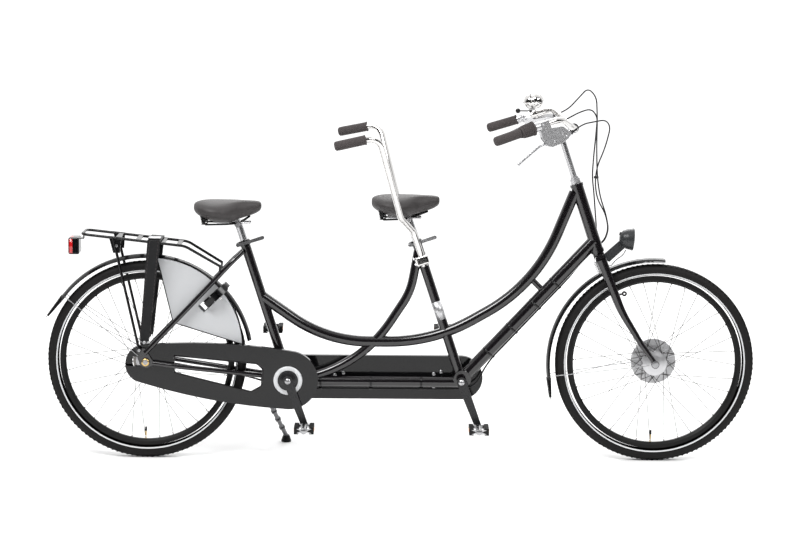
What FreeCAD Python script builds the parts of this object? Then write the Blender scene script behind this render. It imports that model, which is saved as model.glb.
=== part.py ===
import FreeCAD, Part
import math
import os

V = FreeCAD.Vector

# A Dutch tandem roadster. The bicycle is laid out upright: X forward from the rear axle,
# Y to the rider's left, Z up from the ground, in millimetres. At the end the whole bicycle
# is leaned onto its side stand and moved so that the origin is the middle of its base.

# ---------------------------------------------------------------- driving dimensions
LEAN = 2.0                      # degrees, towards the side stand on the left
WHEELBASE = 1813.0
TYRE_RADIUS = 355.0
TYRE_SECTION = 23.5
TYRE_WALL = 3.5
RIM_INNER = 290.0
RIM_SEAT = 311.0
RIM_HALF_WIDTH = 14.0
SPOKES = 36
SPOKE_RADIUS = 1.0
SPOKE_PHASE = 3.5               # degrees, puts the valve at the bottom between two spokes
SPOKE_SWING = 60.0              # degrees between a spoke's two ends, for a three-cross wheel
AXLE_RADIUS = 4.95
AXLE_BORE = 5.02

BB_HEIGHT = 290.0
STOKER_BB = V(505, 0, BB_HEIGHT)
CAPTAIN_BB = V(1123, 0, BB_HEIGHT)
CRANK_LENGTH = 170.0
CRANK_ANGLE = 21.0              # degrees forward of straight down, right arm
CRANK_AXLE_RADIUS = 8.5
CRANK_BORE = 8.55
PITCH = 12.7
RING_TEETH = 40
SPROCKET_TEETH = 20
TIMING_TEETH = 32
DRIVE_LINE = -48.0
TIMING_LINE = 53.0

SEAT_ANGLE = 17.9               # degrees from vertical, stoker
CAPTAIN_SEAT_ANGLE = 18.4
SEAT_TUBE_RADIUS = 17.5
SEAT_TUBE_BORE = 13.66
POST_RADIUS = 13.6
STOKER_SEAT_TOP = 785.0
CAPTAIN_SEAT_TOP = 790.0
HEAD_ANGLE = 18.4
HEAD_X_AT_915 = 1551.0
HEAD_LOW = 762.0
HEAD_HIGH = 986.0
HEAD_TUBE_RADIUS = 22.0
STEERER_RADIUS = 12.7
QUILL_RADIUS = 11.0
FORK_HALF_WIDTH = 46.0
DROPOUT_HALF = 50.3             # inner face of a front fork end
REAR_DROPOUT_HALF = 64.0
WALL = 1.8
BAR_RADIUS = 11.0
GRIP_RADIUS = 16.0
CASE_OUTER = -60.0
CASE_INNER = -37.0
CASE_WALL = 1.5
TIMING_CASE_INNER = 42.0
TIMING_CASE_OUTER = 65.0
MUDGUARD_RADIUS = 380.0
MUDGUARD_HALF_WIDTH = 28.0
GUARD_PLANE = 31.0              # inner face of a coat guard panel
CABLE_RADIUS = 2.5

REAR_AXLE = V(0, 0, TYRE_RADIUS)
FRONT_AXLE = V(WHEELBASE, 0, TYRE_RADIUS)
ACROSS = V(0, 1, 0)
RIGHT = -1
LEFT = 1

# Frame tubes, stays and the side stand: lines of their middles.
MAIN_TUBE_LINE = [V(414, 0, 582), V(640, 0, 424), V(1023, 0, 424), V(1387, 0, 634),
                  V(1519, 0, 964)]
REAR_SWAN_LINE = [V(505, 0, 278), V(763, 0, 333), V(940, 0, 605), V(966, 0, 752)]
DOWN_TUBE_LOW = V(1123, 0, 287)
DOWN_TUBE_HIGH = V(1593, 0, 792)
STRUT_TOP = V(1366, 0, 657)     # the short strut between the curved tube and the down tube
STRUT_FOOT = V(1418, 0, 605)
STRUT_RADIUS = 11.0
MAIN_TUBE_RADIUS = 20.0
REAR_SWAN_RADIUS = 16.5
DOWN_TUBE_RADIUS = 23.0
BOOM_RADIUS = 20.0
BOOM_HEIGHT = 278.0
BB_RADIUS = 21.0
FRONT_BB_RADIUS = 31.0
BB_HALF_WIDTH = 34.0
ECCENTRIC_RADIUS = 27.0
ECCENTRIC_OFFSET = V(4, 0, 4)
STAY_RADIUS = 9.0
RIGHT_STAY_LINE = [V(24, -71.5, 351.5), V(112, -71.5, 340.5), V(412, -27, 302), V(486, -24, 292)]
LEFT_STAY_LINE = [V(24, 71.5, 351.5), V(112, 70, 340.5), V(412, 31, 302), V(486, 24, 292)]
SEAT_STAY_LINE = [V(342, -20, 746), V(306, -40, 712), V(-2, -67, 387)]
STAND_PIVOT = V(412, 41, 238)
STAND_AXIS = V(0, 0.874, 0.486)
STAND_FOOT_XY = (487.0, 240.0)
STAND_RADIUS = 8.0

# The right chain case's outline.
CASE_REAR_TOP = V(-20, 0, 414)
CASE_REAR_BOTTOM = V(-38, 0, 285)
CASE_FRONT_TOP = V(525, 0, 394)
CASE_FRONT_BOTTOM = V(490, 0, 187)

# Fork, handlebar, grips and brake levers.
BLADE_LINE = [V(1615, -46, 730), V(1692, -47, 540), V(1762, -49, 428), V(1811, -53, 362)]
BLADE_TOP_HALF_WIDTHS = (18.0, 13.0)    # fore and aft, and across
BLADE_END_HALF_WIDTHS = (9.0, 8.9)
CROWN_HEIGHT = 731.0
CROWN_RADIUS = 18.0
QUILL_TOP = 1150.0
GRIP_END = V(1224, -310, 1168)
BAR_PEAK = V(1450, -235, 1243)
BAR_SHOULDER = V(1512, -72, 1194)
RIGHT_GRIP = 94.0
SHIFTER = 53.0
LEFT_GRIP = 112.0
RIGHT_LEVER_START = 150.0
LEFT_LEVER_START = 116.0
LEFT_LEVER_TURN = 65.0          # degrees outwards about the bar
LEVER_PIVOT = (53.0, -66.0)     # along and above the bar, from the housing's start
LEVER_KNEE = (0.0, -66.0)
LEVER_TIP = (-92.0, -101.0)
LAMP_EYE = V(1697, -60, 611)    # middle of the eyelet on the right fork blade
LAMP_EYE_BORE = 3.2

# The directions along, beside and above the right end of the handlebar.
BAR_ALONG = BAR_PEAK - GRIP_END
BAR_ALONG.normalize()
BAR_SIDE = BAR_ALONG.cross(V(0, 0, 1))
BAR_SIDE.normalize()
BAR_UP = BAR_SIDE.cross(BAR_ALONG)
LEFT_ALONG = V(BAR_ALONG.x, -BAR_ALONG.y, BAR_ALONG.z)

# Bell, stoker's bar, mudguards, rack, coat guards, ring lock and cables.
BELL_CENTRE = V(1382, 232, 1272)
BELL_AXIS = V(0.966, -0.2, 0.16)
BELL_BAND_ALONG = 188.0
DOME_RADIUS = 28.0
DOME_OFFSET = 8.0
BELL_PIN = BELL_CENTRE + V(-10, 0, -30)
BELL_BALL = V(1326, 236, 1236)
STOKER_BAR_LINE = [V(678, -318, 1149), V(824, -290, 1180), V(902, -122, 882), V(947, -60, 826),
                   V(974, -40, 748), V(989, -38, 702)]
FRONT_GUARD_CENTRE = V(1806, 0, 351)
FRONT_GUARD_ANGLES = (84.0, 189.0)
REAR_GUARD_ANGLES = (11.0, 144.0)
RAIL_RADIUS = 5.0
RAIL_LINE = [V(266, -55, 697), V(141, -70, 771), V(-222, -70, 811), V(-222, 70, 811),
             V(141, 70, 771), V(266, 55, 697)]
SLAT_HALF = 8.0
SLAT_TOP = 3.5                  # above the middle of the rails
GUARD_EDGE = [V(40, 0, 722), V(95, 0, 492), V(340, 0, 416)]
LOCK_ANGLE = 43.5
LOCK_CENTRE_RADIUS = 333.0
LOCK_RADIUS = 58.0
SHACKLE_RADIUS = 4.5
CABLE_BREAK = 484.0              # along the down tube from its foot, where the first clip holds

nodes = {}


# ---------------------------------------------------------------- helpers
def polar(centre, radius, degrees, y=0.0):
    """The point at a radius and an angle above forward, in the plane of the wheels."""
    angle = math.radians(degrees)
    return V(centre.x + radius * math.cos(angle), y, centre.z + radius * math.sin(angle))


def tilt_up(degrees):
    """The direction of a tube that leans back from vertical."""
    angle = math.radians(degrees)
    return V(-math.sin(angle), 0, math.cos(angle))


def head_point(height):
    """The point of the steering axis at a height."""
    return V(HEAD_X_AT_915 + (915.0 - height) * math.tan(math.radians(HEAD_ANGLE)), 0, height)


def seat_point(bracket, degrees, height):
    """The point of a seat tube's axis at a height."""
    run = (height - bracket.z) * math.tan(math.radians(degrees))
    return V(bracket.x - run, 0, height)


def at_y(point, y):
    return V(point.x, y, point.z)


def mirrored(shape):
    return shape.mirror(V(0, 0, 0), ACROSS)


def both_sides(shape):
    return [shape, mirrored(shape)]


def fuse(shapes):
    whole = shapes[0].multiFuse(shapes[1:]) if len(shapes) > 1 else shapes[0]
    return whole.removeSplitter()


def group(shapes):
    return Part.makeCompound(shapes)


def rod(start, end, radius, bore=0.0):
    """A straight round bar or tube."""
    along = end - start
    solid = Part.makeCylinder(radius, along.Length, start, along)
    if bore:
        solid = solid.cut(Part.makeCylinder(bore, along.Length, start, along))
    return solid


def bent_path(points, bends):
    """Straight runs through the points, joined by tangent arcs of the given radii."""
    edges = []
    start = points[0]
    for index, radius in enumerate(bends):
        corner = points[index + 1]
        back = points[index] - corner
        back.normalize()
        ahead = points[index + 2] - corner
        ahead.normalize()
        half_turn = (math.pi - back.getAngle(ahead)) / 2
        reach = radius * math.tan(half_turn)
        middle_way = back + ahead
        middle_way.normalize()
        first = corner + back * reach
        last = corner + ahead * reach
        middle = corner + middle_way * (radius / math.cos(half_turn) - radius)
        edges.append(Part.LineSegment(start, first).toShape())
        edges.append(Part.Arc(first, middle, last).toShape())
        start = last
    edges.append(Part.LineSegment(start, points[-1]).toShape())
    return Part.Wire(edges)


def swept(spine, start, along, radius):
    circle = Part.Wire([Part.Circle(start, along, radius).toShape()])
    return spine.makePipeShell([circle], True, False)


def bent_tube(points, bends, radius, bore=0.0):
    """A round tube bent along straight runs and arcs, hollow if it has a bore."""
    if isinstance(bends, (int, float)):
        bends = [bends] * (len(points) - 2)
    spine = bent_path(points, bends)
    along = points[1] - points[0]
    solid = swept(spine, points[0], along, radius)
    if bore:
        solid = solid.cut(swept(spine, points[0], along, bore))
    return solid


def cable(points, radius=CABLE_RADIUS):
    """A cable whose arcs are as large as its runs allow."""
    bends = []
    for index in range(len(points) - 2):
        back = points[index] - points[index + 1]
        ahead = points[index + 2] - points[index + 1]
        half_turn = (math.pi - back.getAngle(ahead)) / 2
        bends.append(0.45 * min(back.Length, ahead.Length) / math.tan(half_turn))
    print("cable length", round(bent_path(points, bends).Length), "tightest bend", round(min(bends)))
    return bent_tube(points, bends, radius)


def lathe(profile, base, axis):
    """A turned solid from a closed profile of (along, radius) points."""
    points = [V(radius, 0, along) for along, radius in profile]
    face = Part.Face(Part.makePolygon(points + points[:1]))
    solid = face.revolve(V(0, 0, 0), V(0, 0, 1), 360)
    solid.Placement = FreeCAD.Placement(base, FreeCAD.Rotation(V(0, 0, 1), axis))
    return solid


def ring(base, axis, thickness, outer, inner):
    return lathe([(0, inner), (0, outer), (thickness, outer), (thickness, inner)], base, axis)


def slab(wire, first_y, last_y):
    """A plate: a closed outline drawn in the plane y = 0, between two values of y."""
    face = Part.Face(wire)
    face.translate(V(0, first_y, 0))
    return face.extrude(V(0, last_y - first_y, 0))


def plate(points, first_y, last_y):
    corners = [V(x, 0, z) for x, z in points]
    return slab(Part.makePolygon(corners + corners[:1]), first_y, last_y)


def belt_wire(first, first_radius, last, last_radius):
    """The outline round two circles and the two straight lines that touch both."""
    along = last - first
    heading = math.atan2(along.z, along.x)
    lean = math.acos((first_radius - last_radius) / along.Length)
    corners = []
    for centre, radius, side in ((first, first_radius, 1), (last, last_radius, 1),
                                 (last, last_radius, -1), (first, first_radius, -1)):
        corners.append(polar(centre, radius, math.degrees(heading + side * lean)))
    last_tip = polar(last, last_radius, math.degrees(heading))
    first_tip = polar(first, first_radius, math.degrees(heading) + 180)
    return Part.Wire([
        Part.LineSegment(corners[0], corners[1]).toShape(),
        Part.Arc(corners[1], last_tip, corners[2]).toShape(),
        Part.LineSegment(corners[2], corners[3]).toShape(),
        Part.Arc(corners[3], first_tip, corners[0]).toShape(),
    ])


def belt_slab(first, first_radius, last, last_radius, first_y, last_y):
    flat_first = at_y(first, 0)
    flat_last = at_y(last, 0)
    return slab(belt_wire(flat_first, first_radius, flat_last, last_radius), first_y, last_y)


def pitch_radius(teeth):
    return PITCH / (2 * math.sin(math.pi / teeth))


def toothed_ring(centre, teeth, y, bore, thickness=2.2, phase=0.0):
    """A chain wheel with one pointed tooth per pitch."""
    tip = pitch_radius(teeth) + 3.0
    root = pitch_radius(teeth) - 3.8
    points = []
    for tooth in range(teeth):
        middle = phase + 360.0 * tooth / teeth
        for offset, radius in ((-0.36, root), (-0.12, tip), (0.12, tip), (0.36, root)):
            points.append(polar(centre, radius, middle + offset * 360.0 / teeth))
    wheel = slab(Part.makePolygon(points + points[:1]), y - thickness / 2, y + thickness / 2)
    return wheel.cut(rod(at_y(centre, y - 5), at_y(centre, y + 5), bore))


def chain_loop(first, first_radius, last, last_radius, y):
    """A chain as a channel that closes over the teeth: two side plates and the outer bridge."""
    plate_reach = 4.0
    half_width = 4.4
    plate_width = 1.6
    outside = plate_reach + 1.2

    def band(outer, inner, first_y, last_y):
        whole = belt_slab(first, first_radius + outer, last, last_radius + outer, first_y, last_y)
        hole = belt_slab(first, first_radius + inner, last, last_radius + inner,
                         first_y - 1, last_y + 1)
        return whole.cut(hole)

    near = band(plate_reach, -plate_reach, y - half_width, y - half_width + plate_width)
    far = band(plate_reach, -plate_reach, y + half_width - plate_width, y + half_width)
    roof = band(outside, plate_reach, y - half_width, y + half_width)
    return fuse([near, far, roof])


# ---------------------------------------------------------------- wheels
def wheel_parts(axle, name, left_flange, right_flange, flange_radius):
    """Tyre, rim and spokes of one wheel."""
    centre_line = TYRE_RADIUS - TYRE_SECTION
    outside = Part.makeTorus(centre_line, TYRE_SECTION, axle, ACROSS)
    air = Part.makeTorus(centre_line, TYRE_SECTION - TYRE_WALL, axle, ACROSS)
    seat = ring(at_y(axle, -40), ACROSS, 80, RIM_SEAT, RIM_INNER - 20)
    nodes[name + "_tyre"] = outside.cut(air).cut(seat)
    half = RIM_HALF_WIDTH
    profile = [(-half, RIM_SEAT), (-half, 298), (-6, RIM_INNER), (6, RIM_INNER), (half, 298),
               (half, RIM_SEAT), (half - 3, RIM_SEAT), (half - 3, 301), (-half + 3, 301),
               (-half + 3, RIM_SEAT)]
    nodes[name + "_rim"] = lathe(profile, axle, ACROSS)
    spokes = []
    for index in range(SPOKES):
        rim_angle = SPOKE_PHASE - 5.0 + index * 360.0 / SPOKES
        side = 1 if index % 2 == 0 else -1
        swing = SPOKE_SWING if index % 4 < 2 else -SPOKE_SWING
        flange = left_flange if side > 0 else right_flange
        elbow = 2.2 * side if swing > 0 else -2.2 * side
        inner = polar(axle, flange_radius, rim_angle + swing, flange + elbow)
        outer = polar(axle, RIM_INNER + 3, rim_angle, 2.0 * side)
        spokes.append(rod(inner, outer, SPOKE_RADIUS))
    nodes[name + "_spokes"] = group(spokes)


def make_front_wheel():
    wheel_parts(FRONT_AXLE, "front", 22, -28, 40.0)
    profile = [(-49, AXLE_BORE), (-49, 11), (-38, 12), (-35, 30), (-31, 43.5), (-25, 43.5),
               (-22, 33), (16, 31), (19, 43.5), (25, 43.5), (25, 80.5), (35.5, 80.5),
               (36.5, 26), (45, 13), (49, 11), (49, AXLE_BORE)]
    nodes["front_hub"] = lathe(profile, FRONT_AXLE, ACROSS)


def make_rear_wheel():
    wheel_parts(REAR_AXLE, "rear", 30, -28, 41.0)
    profile = [(-38, AXLE_BORE), (-38, 20), (-33, 30), (-31, 45), (-25, 45), (-22, 35),
               (23, 33), (27, 45), (33, 45), (33, 50), (55, 50), (56, 22), (62.5, 12),
               (62.5, AXLE_BORE)]
    nodes["rear_hub"] = lathe(profile, REAR_AXLE, ACROSS)


def make_rear_sprocket():
    driver = lathe([(-54, AXLE_BORE), (-54, 14), (DRIVE_LINE - 1.1, 20), (-40, 24), (-40, AXLE_BORE)],
                   REAR_AXLE, ACROSS)
    wheel = toothed_ring(REAR_AXLE, SPROCKET_TEETH, DRIVE_LINE, 15.0)
    nodes["rear_sprocket"] = fuse([driver, wheel])


def axle_with_nuts(axle, dropout_outer, reach):
    """A threaded axle with a washer and a hexagon nut outside each fork end."""
    parts = [rod(at_y(axle, -reach), at_y(axle, reach), AXLE_RADIUS)]
    for side in (RIGHT, LEFT):
        washer_start = at_y(axle, side * (dropout_outer + 0.1))
        washer = ring(washer_start, ACROSS * side, 2.2, 12.0, AXLE_RADIUS)
        nut_start = at_y(axle, side * (dropout_outer + 2.3))
        hexagon = Part.Face(Part.makePolygon([polar(nut_start, 9.5, 60 * k, nut_start.y)
                                              for k in range(7)]))
        nut = hexagon.extrude(ACROSS * side * 9)
        parts.extend([washer, nut.cut(parts[0])])
    return parts


# ---------------------------------------------------------------- frame tubes
def seat_tube_outer(bracket, degrees, top):
    return rod(bracket, seat_point(bracket, degrees, top), SEAT_TUBE_RADIUS)


def seat_collar(bracket, degrees, top):
    """The clamp round the top of a seat tube, with two ears and a cross bolt behind it."""
    up = tilt_up(degrees)
    level = seat_point(bracket, degrees, top)
    base = level - up * 18
    collar = ring(base, up, 18, 20.5, SEAT_TUBE_RADIUS)
    back = V(-up.z, 0, up.x)
    ear_base = base + back * 24 + up * 9
    ears = []
    for side in (RIGHT, LEFT):
        start = V(ear_base.x, side * 2.0, ear_base.z)
        end = V(ear_base.x, side * 13.0, ear_base.z)
        ears.append(rod(start, end, 7.5))
    bolt = rod(V(ear_base.x, -15, ear_base.z), V(ear_base.x, 17, ear_base.z), 2.5)
    return fuse([collar.cut(ears[0]).cut(ears[1]), *ears, bolt]), ear_base


def make_frame_tubes():
    rear_shell = rod(at_y(STOKER_BB, -BB_HALF_WIDTH), at_y(STOKER_BB, BB_HALF_WIDTH), BB_RADIUS)
    eccentric_centre = CAPTAIN_BB + ECCENTRIC_OFFSET
    front_shell = rod(at_y(eccentric_centre, -BB_HALF_WIDTH),
                      at_y(eccentric_centre, BB_HALF_WIDTH), FRONT_BB_RADIUS)
    head_low = head_point(HEAD_LOW)
    head_high = head_point(HEAD_HIGH)
    head_outer = rod(head_low, head_high, HEAD_TUBE_RADIUS)
    stoker_outer = seat_tube_outer(STOKER_BB, SEAT_ANGLE, STOKER_SEAT_TOP)
    captain_outer = seat_tube_outer(CAPTAIN_BB, CAPTAIN_SEAT_ANGLE, CAPTAIN_SEAT_TOP)

    main_outer = bent_tube(MAIN_TUBE_LINE, [476, 608, 573], MAIN_TUBE_RADIUS)
    main_tube = bent_tube(MAIN_TUBE_LINE, [476, 608, 573], MAIN_TUBE_RADIUS,
                          MAIN_TUBE_RADIUS - WALL)
    nodes["main_tube"] = main_tube.cut(stoker_outer).cut(head_outer)

    down_tube = rod(DOWN_TUBE_LOW, DOWN_TUBE_HIGH, DOWN_TUBE_RADIUS, DOWN_TUBE_RADIUS - WALL)
    down_outer = rod(DOWN_TUBE_LOW, DOWN_TUBE_HIGH, DOWN_TUBE_RADIUS)
    boom_start = V(STOKER_BB.x, 0, BOOM_HEIGHT)
    boom_end = V(CAPTAIN_BB.x, 0, BOOM_HEIGHT)
    boom_outer = rod(boom_start, boom_end, BOOM_RADIUS)
    boom = rod(boom_start, boom_end, BOOM_RADIUS, BOOM_RADIUS - WALL)
    nodes["boom_tube"] = boom.cut(rear_shell).cut(front_shell)
    cup_room = rod(head_low - tilt_up(HEAD_ANGLE) * 40, head_low, 24.4)
    down_tube = down_tube.cut(front_shell).cut(head_outer).cut(boom_outer).cut(cup_room)
    down_tube = max(down_tube.Solids, key=lambda piece: piece.Volume)
    strut = rod(STRUT_TOP, STRUT_FOOT, STRUT_RADIUS).cut(main_outer).cut(down_outer)
    nodes["down_tube"] = fuse([down_tube, strut])

    captain_tube = rod(CAPTAIN_BB, seat_point(CAPTAIN_BB, CAPTAIN_SEAT_ANGLE, CAPTAIN_SEAT_TOP),
                       SEAT_TUBE_RADIUS, SEAT_TUBE_BORE)
    captain_tube = captain_tube.cut(main_outer).cut(front_shell).cut(boom_outer).cut(down_outer)
    collar, captain_ear = seat_collar(CAPTAIN_BB, CAPTAIN_SEAT_ANGLE, CAPTAIN_SEAT_TOP)
    nodes["captain_seat_tube"] = group([*captain_tube.Solids, collar])

    stoker_tube = rod(STOKER_BB, seat_point(STOKER_BB, SEAT_ANGLE, STOKER_SEAT_TOP),
                      SEAT_TUBE_RADIUS, SEAT_TUBE_BORE)
    stoker_tube = stoker_tube.cut(rear_shell).cut(boom_outer)
    collar, stoker_ear = seat_collar(STOKER_BB, SEAT_ANGLE, STOKER_SEAT_TOP)
    nodes["stoker_seat_tube"] = group([*stoker_tube.Solids, collar])

    swan = bent_tube(REAR_SWAN_LINE, [473, 240], REAR_SWAN_RADIUS, REAR_SWAN_RADIUS - WALL)
    swan_outer = bent_tube(REAR_SWAN_LINE, [473, 240], REAR_SWAN_RADIUS)
    swan = swan.cut(main_outer).cut(captain_outer).cut(stoker_outer)
    swan = swan.cut(rear_shell).cut(boom_outer)
    nodes["rear_swan_tube"] = group([s for s in swan.Solids if s.Volume > 500])

    head_bore = STEERER_RADIUS + 4
    head_tube = rod(head_low, head_high, HEAD_TUBE_RADIUS, head_bore)
    up = tilt_up(HEAD_ANGLE)
    low_cup = ring(head_low - up * 12, up, 12, 24.0, STEERER_RADIUS + 0.05)
    high_cup = ring(head_high, up, 10, 24.0, STEERER_RADIUS + 0.05)
    nodes["head_tube"] = group([head_tube, low_cup, high_cup])

    cup_bore = 15.0
    shells = [rear_shell.cut(rod(at_y(STOKER_BB, -40), at_y(STOKER_BB, 40), cup_bore)),
              front_shell.cut(rod(at_y(eccentric_centre, -40), at_y(eccentric_centre, 40),
                                  ECCENTRIC_RADIUS))]
    eccentric = rod(at_y(eccentric_centre, -BB_HALF_WIDTH - 2),
                    at_y(eccentric_centre, BB_HALF_WIDTH + 2), ECCENTRIC_RADIUS)
    eccentric = eccentric.cut(rod(at_y(CAPTAIN_BB, -40), at_y(CAPTAIN_BB, 40), CRANK_BORE))
    cups = [ring(at_y(STOKER_BB, side * 20), ACROSS * side, 16, cup_bore, CRANK_BORE)
            for side in (RIGHT, LEFT)]
    nodes["bottom_brackets"] = group([*shells, eccentric, *cups])
    return rear_shell, stoker_outer, captain_outer.fuse(swan_outer), captain_ear, stoker_ear


# ---------------------------------------------------------------- rear triangle
def rear_dropout(side):
    """The flat fork end that holds the axle, the stays and the rack legs."""
    outline = [(24, 360), (-2, 404), (-34, 404), (-30, 372), (-18, 340), (4, 334), (30, 343)]
    body = plate(outline, side * REAR_DROPOUT_HALF, side * (REAR_DROPOUT_HALF + 6))
    slot = rod(at_y(REAR_AXLE, side * 60), at_y(REAR_AXLE, side * 75), AXLE_RADIUS)
    return body.cut(slot)


def make_stays(rear_shell, stoker_outer):
    axis = STAND_AXIS
    left_tube = bent_tube(LEFT_STAY_LINE, [300, 300], STAY_RADIUS)
    right_tube = bent_tube(RIGHT_STAY_LINE, [300, 300], STAY_RADIUS)
    flange = rod(STAND_PIVOT - axis * 24, STAND_PIVOT - axis * 8.3, 12.0)
    hanger = rod(V(STAND_PIVOT.x, 30, 300), STAND_PIVOT - axis * 18, 8.0)
    stand_room = rod(STAND_PIVOT - axis * 8.3, STAND_PIVOT + axis * 40, 13.0)
    pin = rod(STAND_PIVOT - axis * 10, STAND_PIVOT + axis * 10, 5.0)
    bracket = fuse([fuse([flange, hanger]).cut(stand_room), pin])
    left = fuse([left_tube, rear_dropout(LEFT), bracket])
    right = fuse([right_tube, rear_dropout(RIGHT)])
    sides = []
    right_seat_stay = bent_tube(SEAT_STAY_LINE, [90], STAY_RADIUS)
    for chain_stay, seat_stay in ((right, right_seat_stay), (left, mirrored(right_seat_stay))):
        whole = fuse([chain_stay, seat_stay]).cut(rear_shell).cut(stoker_outer)
        sides.append(max(whole.Solids, key=lambda piece: piece.Volume))
    nodes["rear_triangle"] = group(sides)


def make_kickstand():
    """A side stand with a telescopic lower leg and a rubber foot that lies flat on the ground."""
    lean = math.radians(LEAN)
    up = V(0, -math.sin(lean), math.cos(lean))
    foot_x, foot_y = STAND_FOOT_XY
    ground = V(foot_x, foot_y, foot_y * math.tan(lean))
    ankle = ground + up * 22
    boss = rod(STAND_PIVOT - STAND_AXIS * 8, STAND_PIVOT + STAND_AXIS * 8, 11.0)
    along = ankle - STAND_PIVOT
    along.normalize()
    length = (ankle - STAND_PIVOT).Length
    leg = rod(STAND_PIVOT, ankle, STAND_RADIUS)
    collars = []
    for share in (0.45, 0.62, 0.8):
        start = STAND_PIVOT + along * (length * share)
        collars.append(rod(start, start + along * 9, STAND_RADIUS + 3))
    bolt_hole = rod(STAND_PIVOT - STAND_AXIS * 30, STAND_PIVOT + STAND_AXIS * 30, 5.05)
    leg_part = fuse([boss, leg, *collars]).cut(bolt_hole)
    foot = lathe([(0, 0), (0, 18), (6, 18), (26, 11), (26, 0)], ground, up)
    nodes["kickstand_leg"] = group([leg_part.cut(foot).Solids[0], foot])


# ---------------------------------------------------------------- transmission
def case_wire():
    """The chain case's outline: two round ends and two gently crowned sides."""
    return Part.Wire([
        Part.Arc(CASE_REAR_TOP, V(235, 0, 422), CASE_FRONT_TOP).toShape(),
        Part.Arc(CASE_FRONT_TOP, V(612, 0, 291), CASE_FRONT_BOTTOM).toShape(),
        Part.Arc(CASE_FRONT_BOTTOM, V(222, 0, 220), CASE_REAR_BOTTOM).toShape(),
        Part.Arc(CASE_REAR_BOTTOM, V(-74, 0, 347), CASE_REAR_TOP).toShape(),
    ])


def hollow_case(wire, first_y, last_y, windows):
    """A closed box with thin walls, then openings cut through it."""
    outside = slab(wire, first_y, last_y)
    inset = wire.makeOffset2D(-CASE_WALL)
    inside = slab(inset, first_y + CASE_WALL, last_y - CASE_WALL)
    case = outside.cut(inside)
    for window in windows:
        case = case.cut(window)
    return case


def make_chain_case():
    window = [(100, 377), (395, 350), (413, 330), (413, 270), (372, 248), (100, 315)]
    wheel_slot = plate([(-90, 340), (-90, 372), (22, 372), (22, 336)], CASE_OUTER - 5, -52)
    openings = [
        plate(window, CASE_OUTER - 5, CASE_INNER + 5),
        rod(at_y(STOKER_BB, CASE_OUTER - 5), at_y(STOKER_BB, -50), 52.0),
        rod(at_y(STOKER_BB, -50), at_y(STOKER_BB, CASE_INNER + 5), 30.0),
        rod(at_y(REAR_AXLE, CASE_OUTER - 5), at_y(REAR_AXLE, -50), 16.0),
        rod(at_y(REAR_AXLE, -50), at_y(REAR_AXLE, CASE_INNER + 5), 50.0),
        wheel_slot,
        bent_tube(RIGHT_STAY_LINE, 300, STAY_RADIUS + 1.0),
        bent_tube(SEAT_STAY_LINE, 90, STAY_RADIUS + 1.0),
    ]
    nodes["chain_case"] = hollow_case(case_wire(), CASE_OUTER, CASE_INNER, openings)


def make_timing_case():
    radius = 79.0
    openings = []
    for bracket in (STOKER_BB, CAPTAIN_BB):
        openings.append(rod(at_y(bracket, 30), at_y(bracket, 50), 38.0))
        openings.append(rod(at_y(bracket, 50), at_y(bracket, 75), 20.0))
    wire = belt_wire(STOKER_BB - V(0, 0, 4), radius, CAPTAIN_BB - V(0, 0, 4), radius)
    nodes["timing_case"] = hollow_case(wire, TIMING_CASE_INNER, TIMING_CASE_OUTER, openings)


def make_chains():
    nodes["drive_chain"] = chain_loop(REAR_AXLE, pitch_radius(SPROCKET_TEETH), STOKER_BB,
                                      pitch_radius(RING_TEETH), DRIVE_LINE)
    timing = pitch_radius(TIMING_TEETH)
    nodes["timing_chain"] = chain_loop(STOKER_BB, timing, CAPTAIN_BB, timing, TIMING_LINE)


def pedal_eye(bracket, side):
    """Where a pedal screws in: the right arm points down and forward, the left one opposite."""
    angle = CRANK_ANGLE - 90.0 if side == RIGHT else CRANK_ANGLE + 90.0
    return polar(bracket, CRANK_LENGTH, angle)


def crank_parts(bracket, timing_only):
    """Axle, two arms with pedal pins, and the chain wheels with their carriers."""
    solids = [rod(at_y(bracket, -80), at_y(bracket, 84), CRANK_AXLE_RADIUS)]
    for side, inner in ((RIGHT, 66.0), (LEFT, 69.0)):
        eye = pedal_eye(bracket, side)
        solids.append(belt_slab(bracket, 17, eye, 12, side * inner, side * (inner + 13)))
        solids.append(rod(at_y(eye, side * (inner + 2)), at_y(eye, side * (inner + 112)), 4.5))
    timing_wheel = toothed_ring(bracket, TIMING_TEETH, TIMING_LINE, CRANK_AXLE_RADIUS)
    carrier = ring(at_y(bracket, TIMING_LINE), ACROSS, 17, 16.0, CRANK_AXLE_RADIUS - 0.5)
    solids.extend([timing_wheel, carrier])
    if not timing_only:
        solids.append(toothed_ring(bracket, RING_TEETH, DRIVE_LINE, CRANK_AXLE_RADIUS))
        boss = lathe([(DRIVE_LINE, 5), (DRIVE_LINE, 30), (-58, 30), (-60.5, 51), (-62.5, 51),
                      (-63, 30), (-67, 18), (-67, 5)], bracket, ACROSS)
        solids.append(boss)
    return fuse(solids)


def make_cranks():
    nodes["stoker_cranks"] = crank_parts(STOKER_BB, False)
    nodes["captain_cranks"] = crank_parts(CAPTAIN_BB, True)


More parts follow.
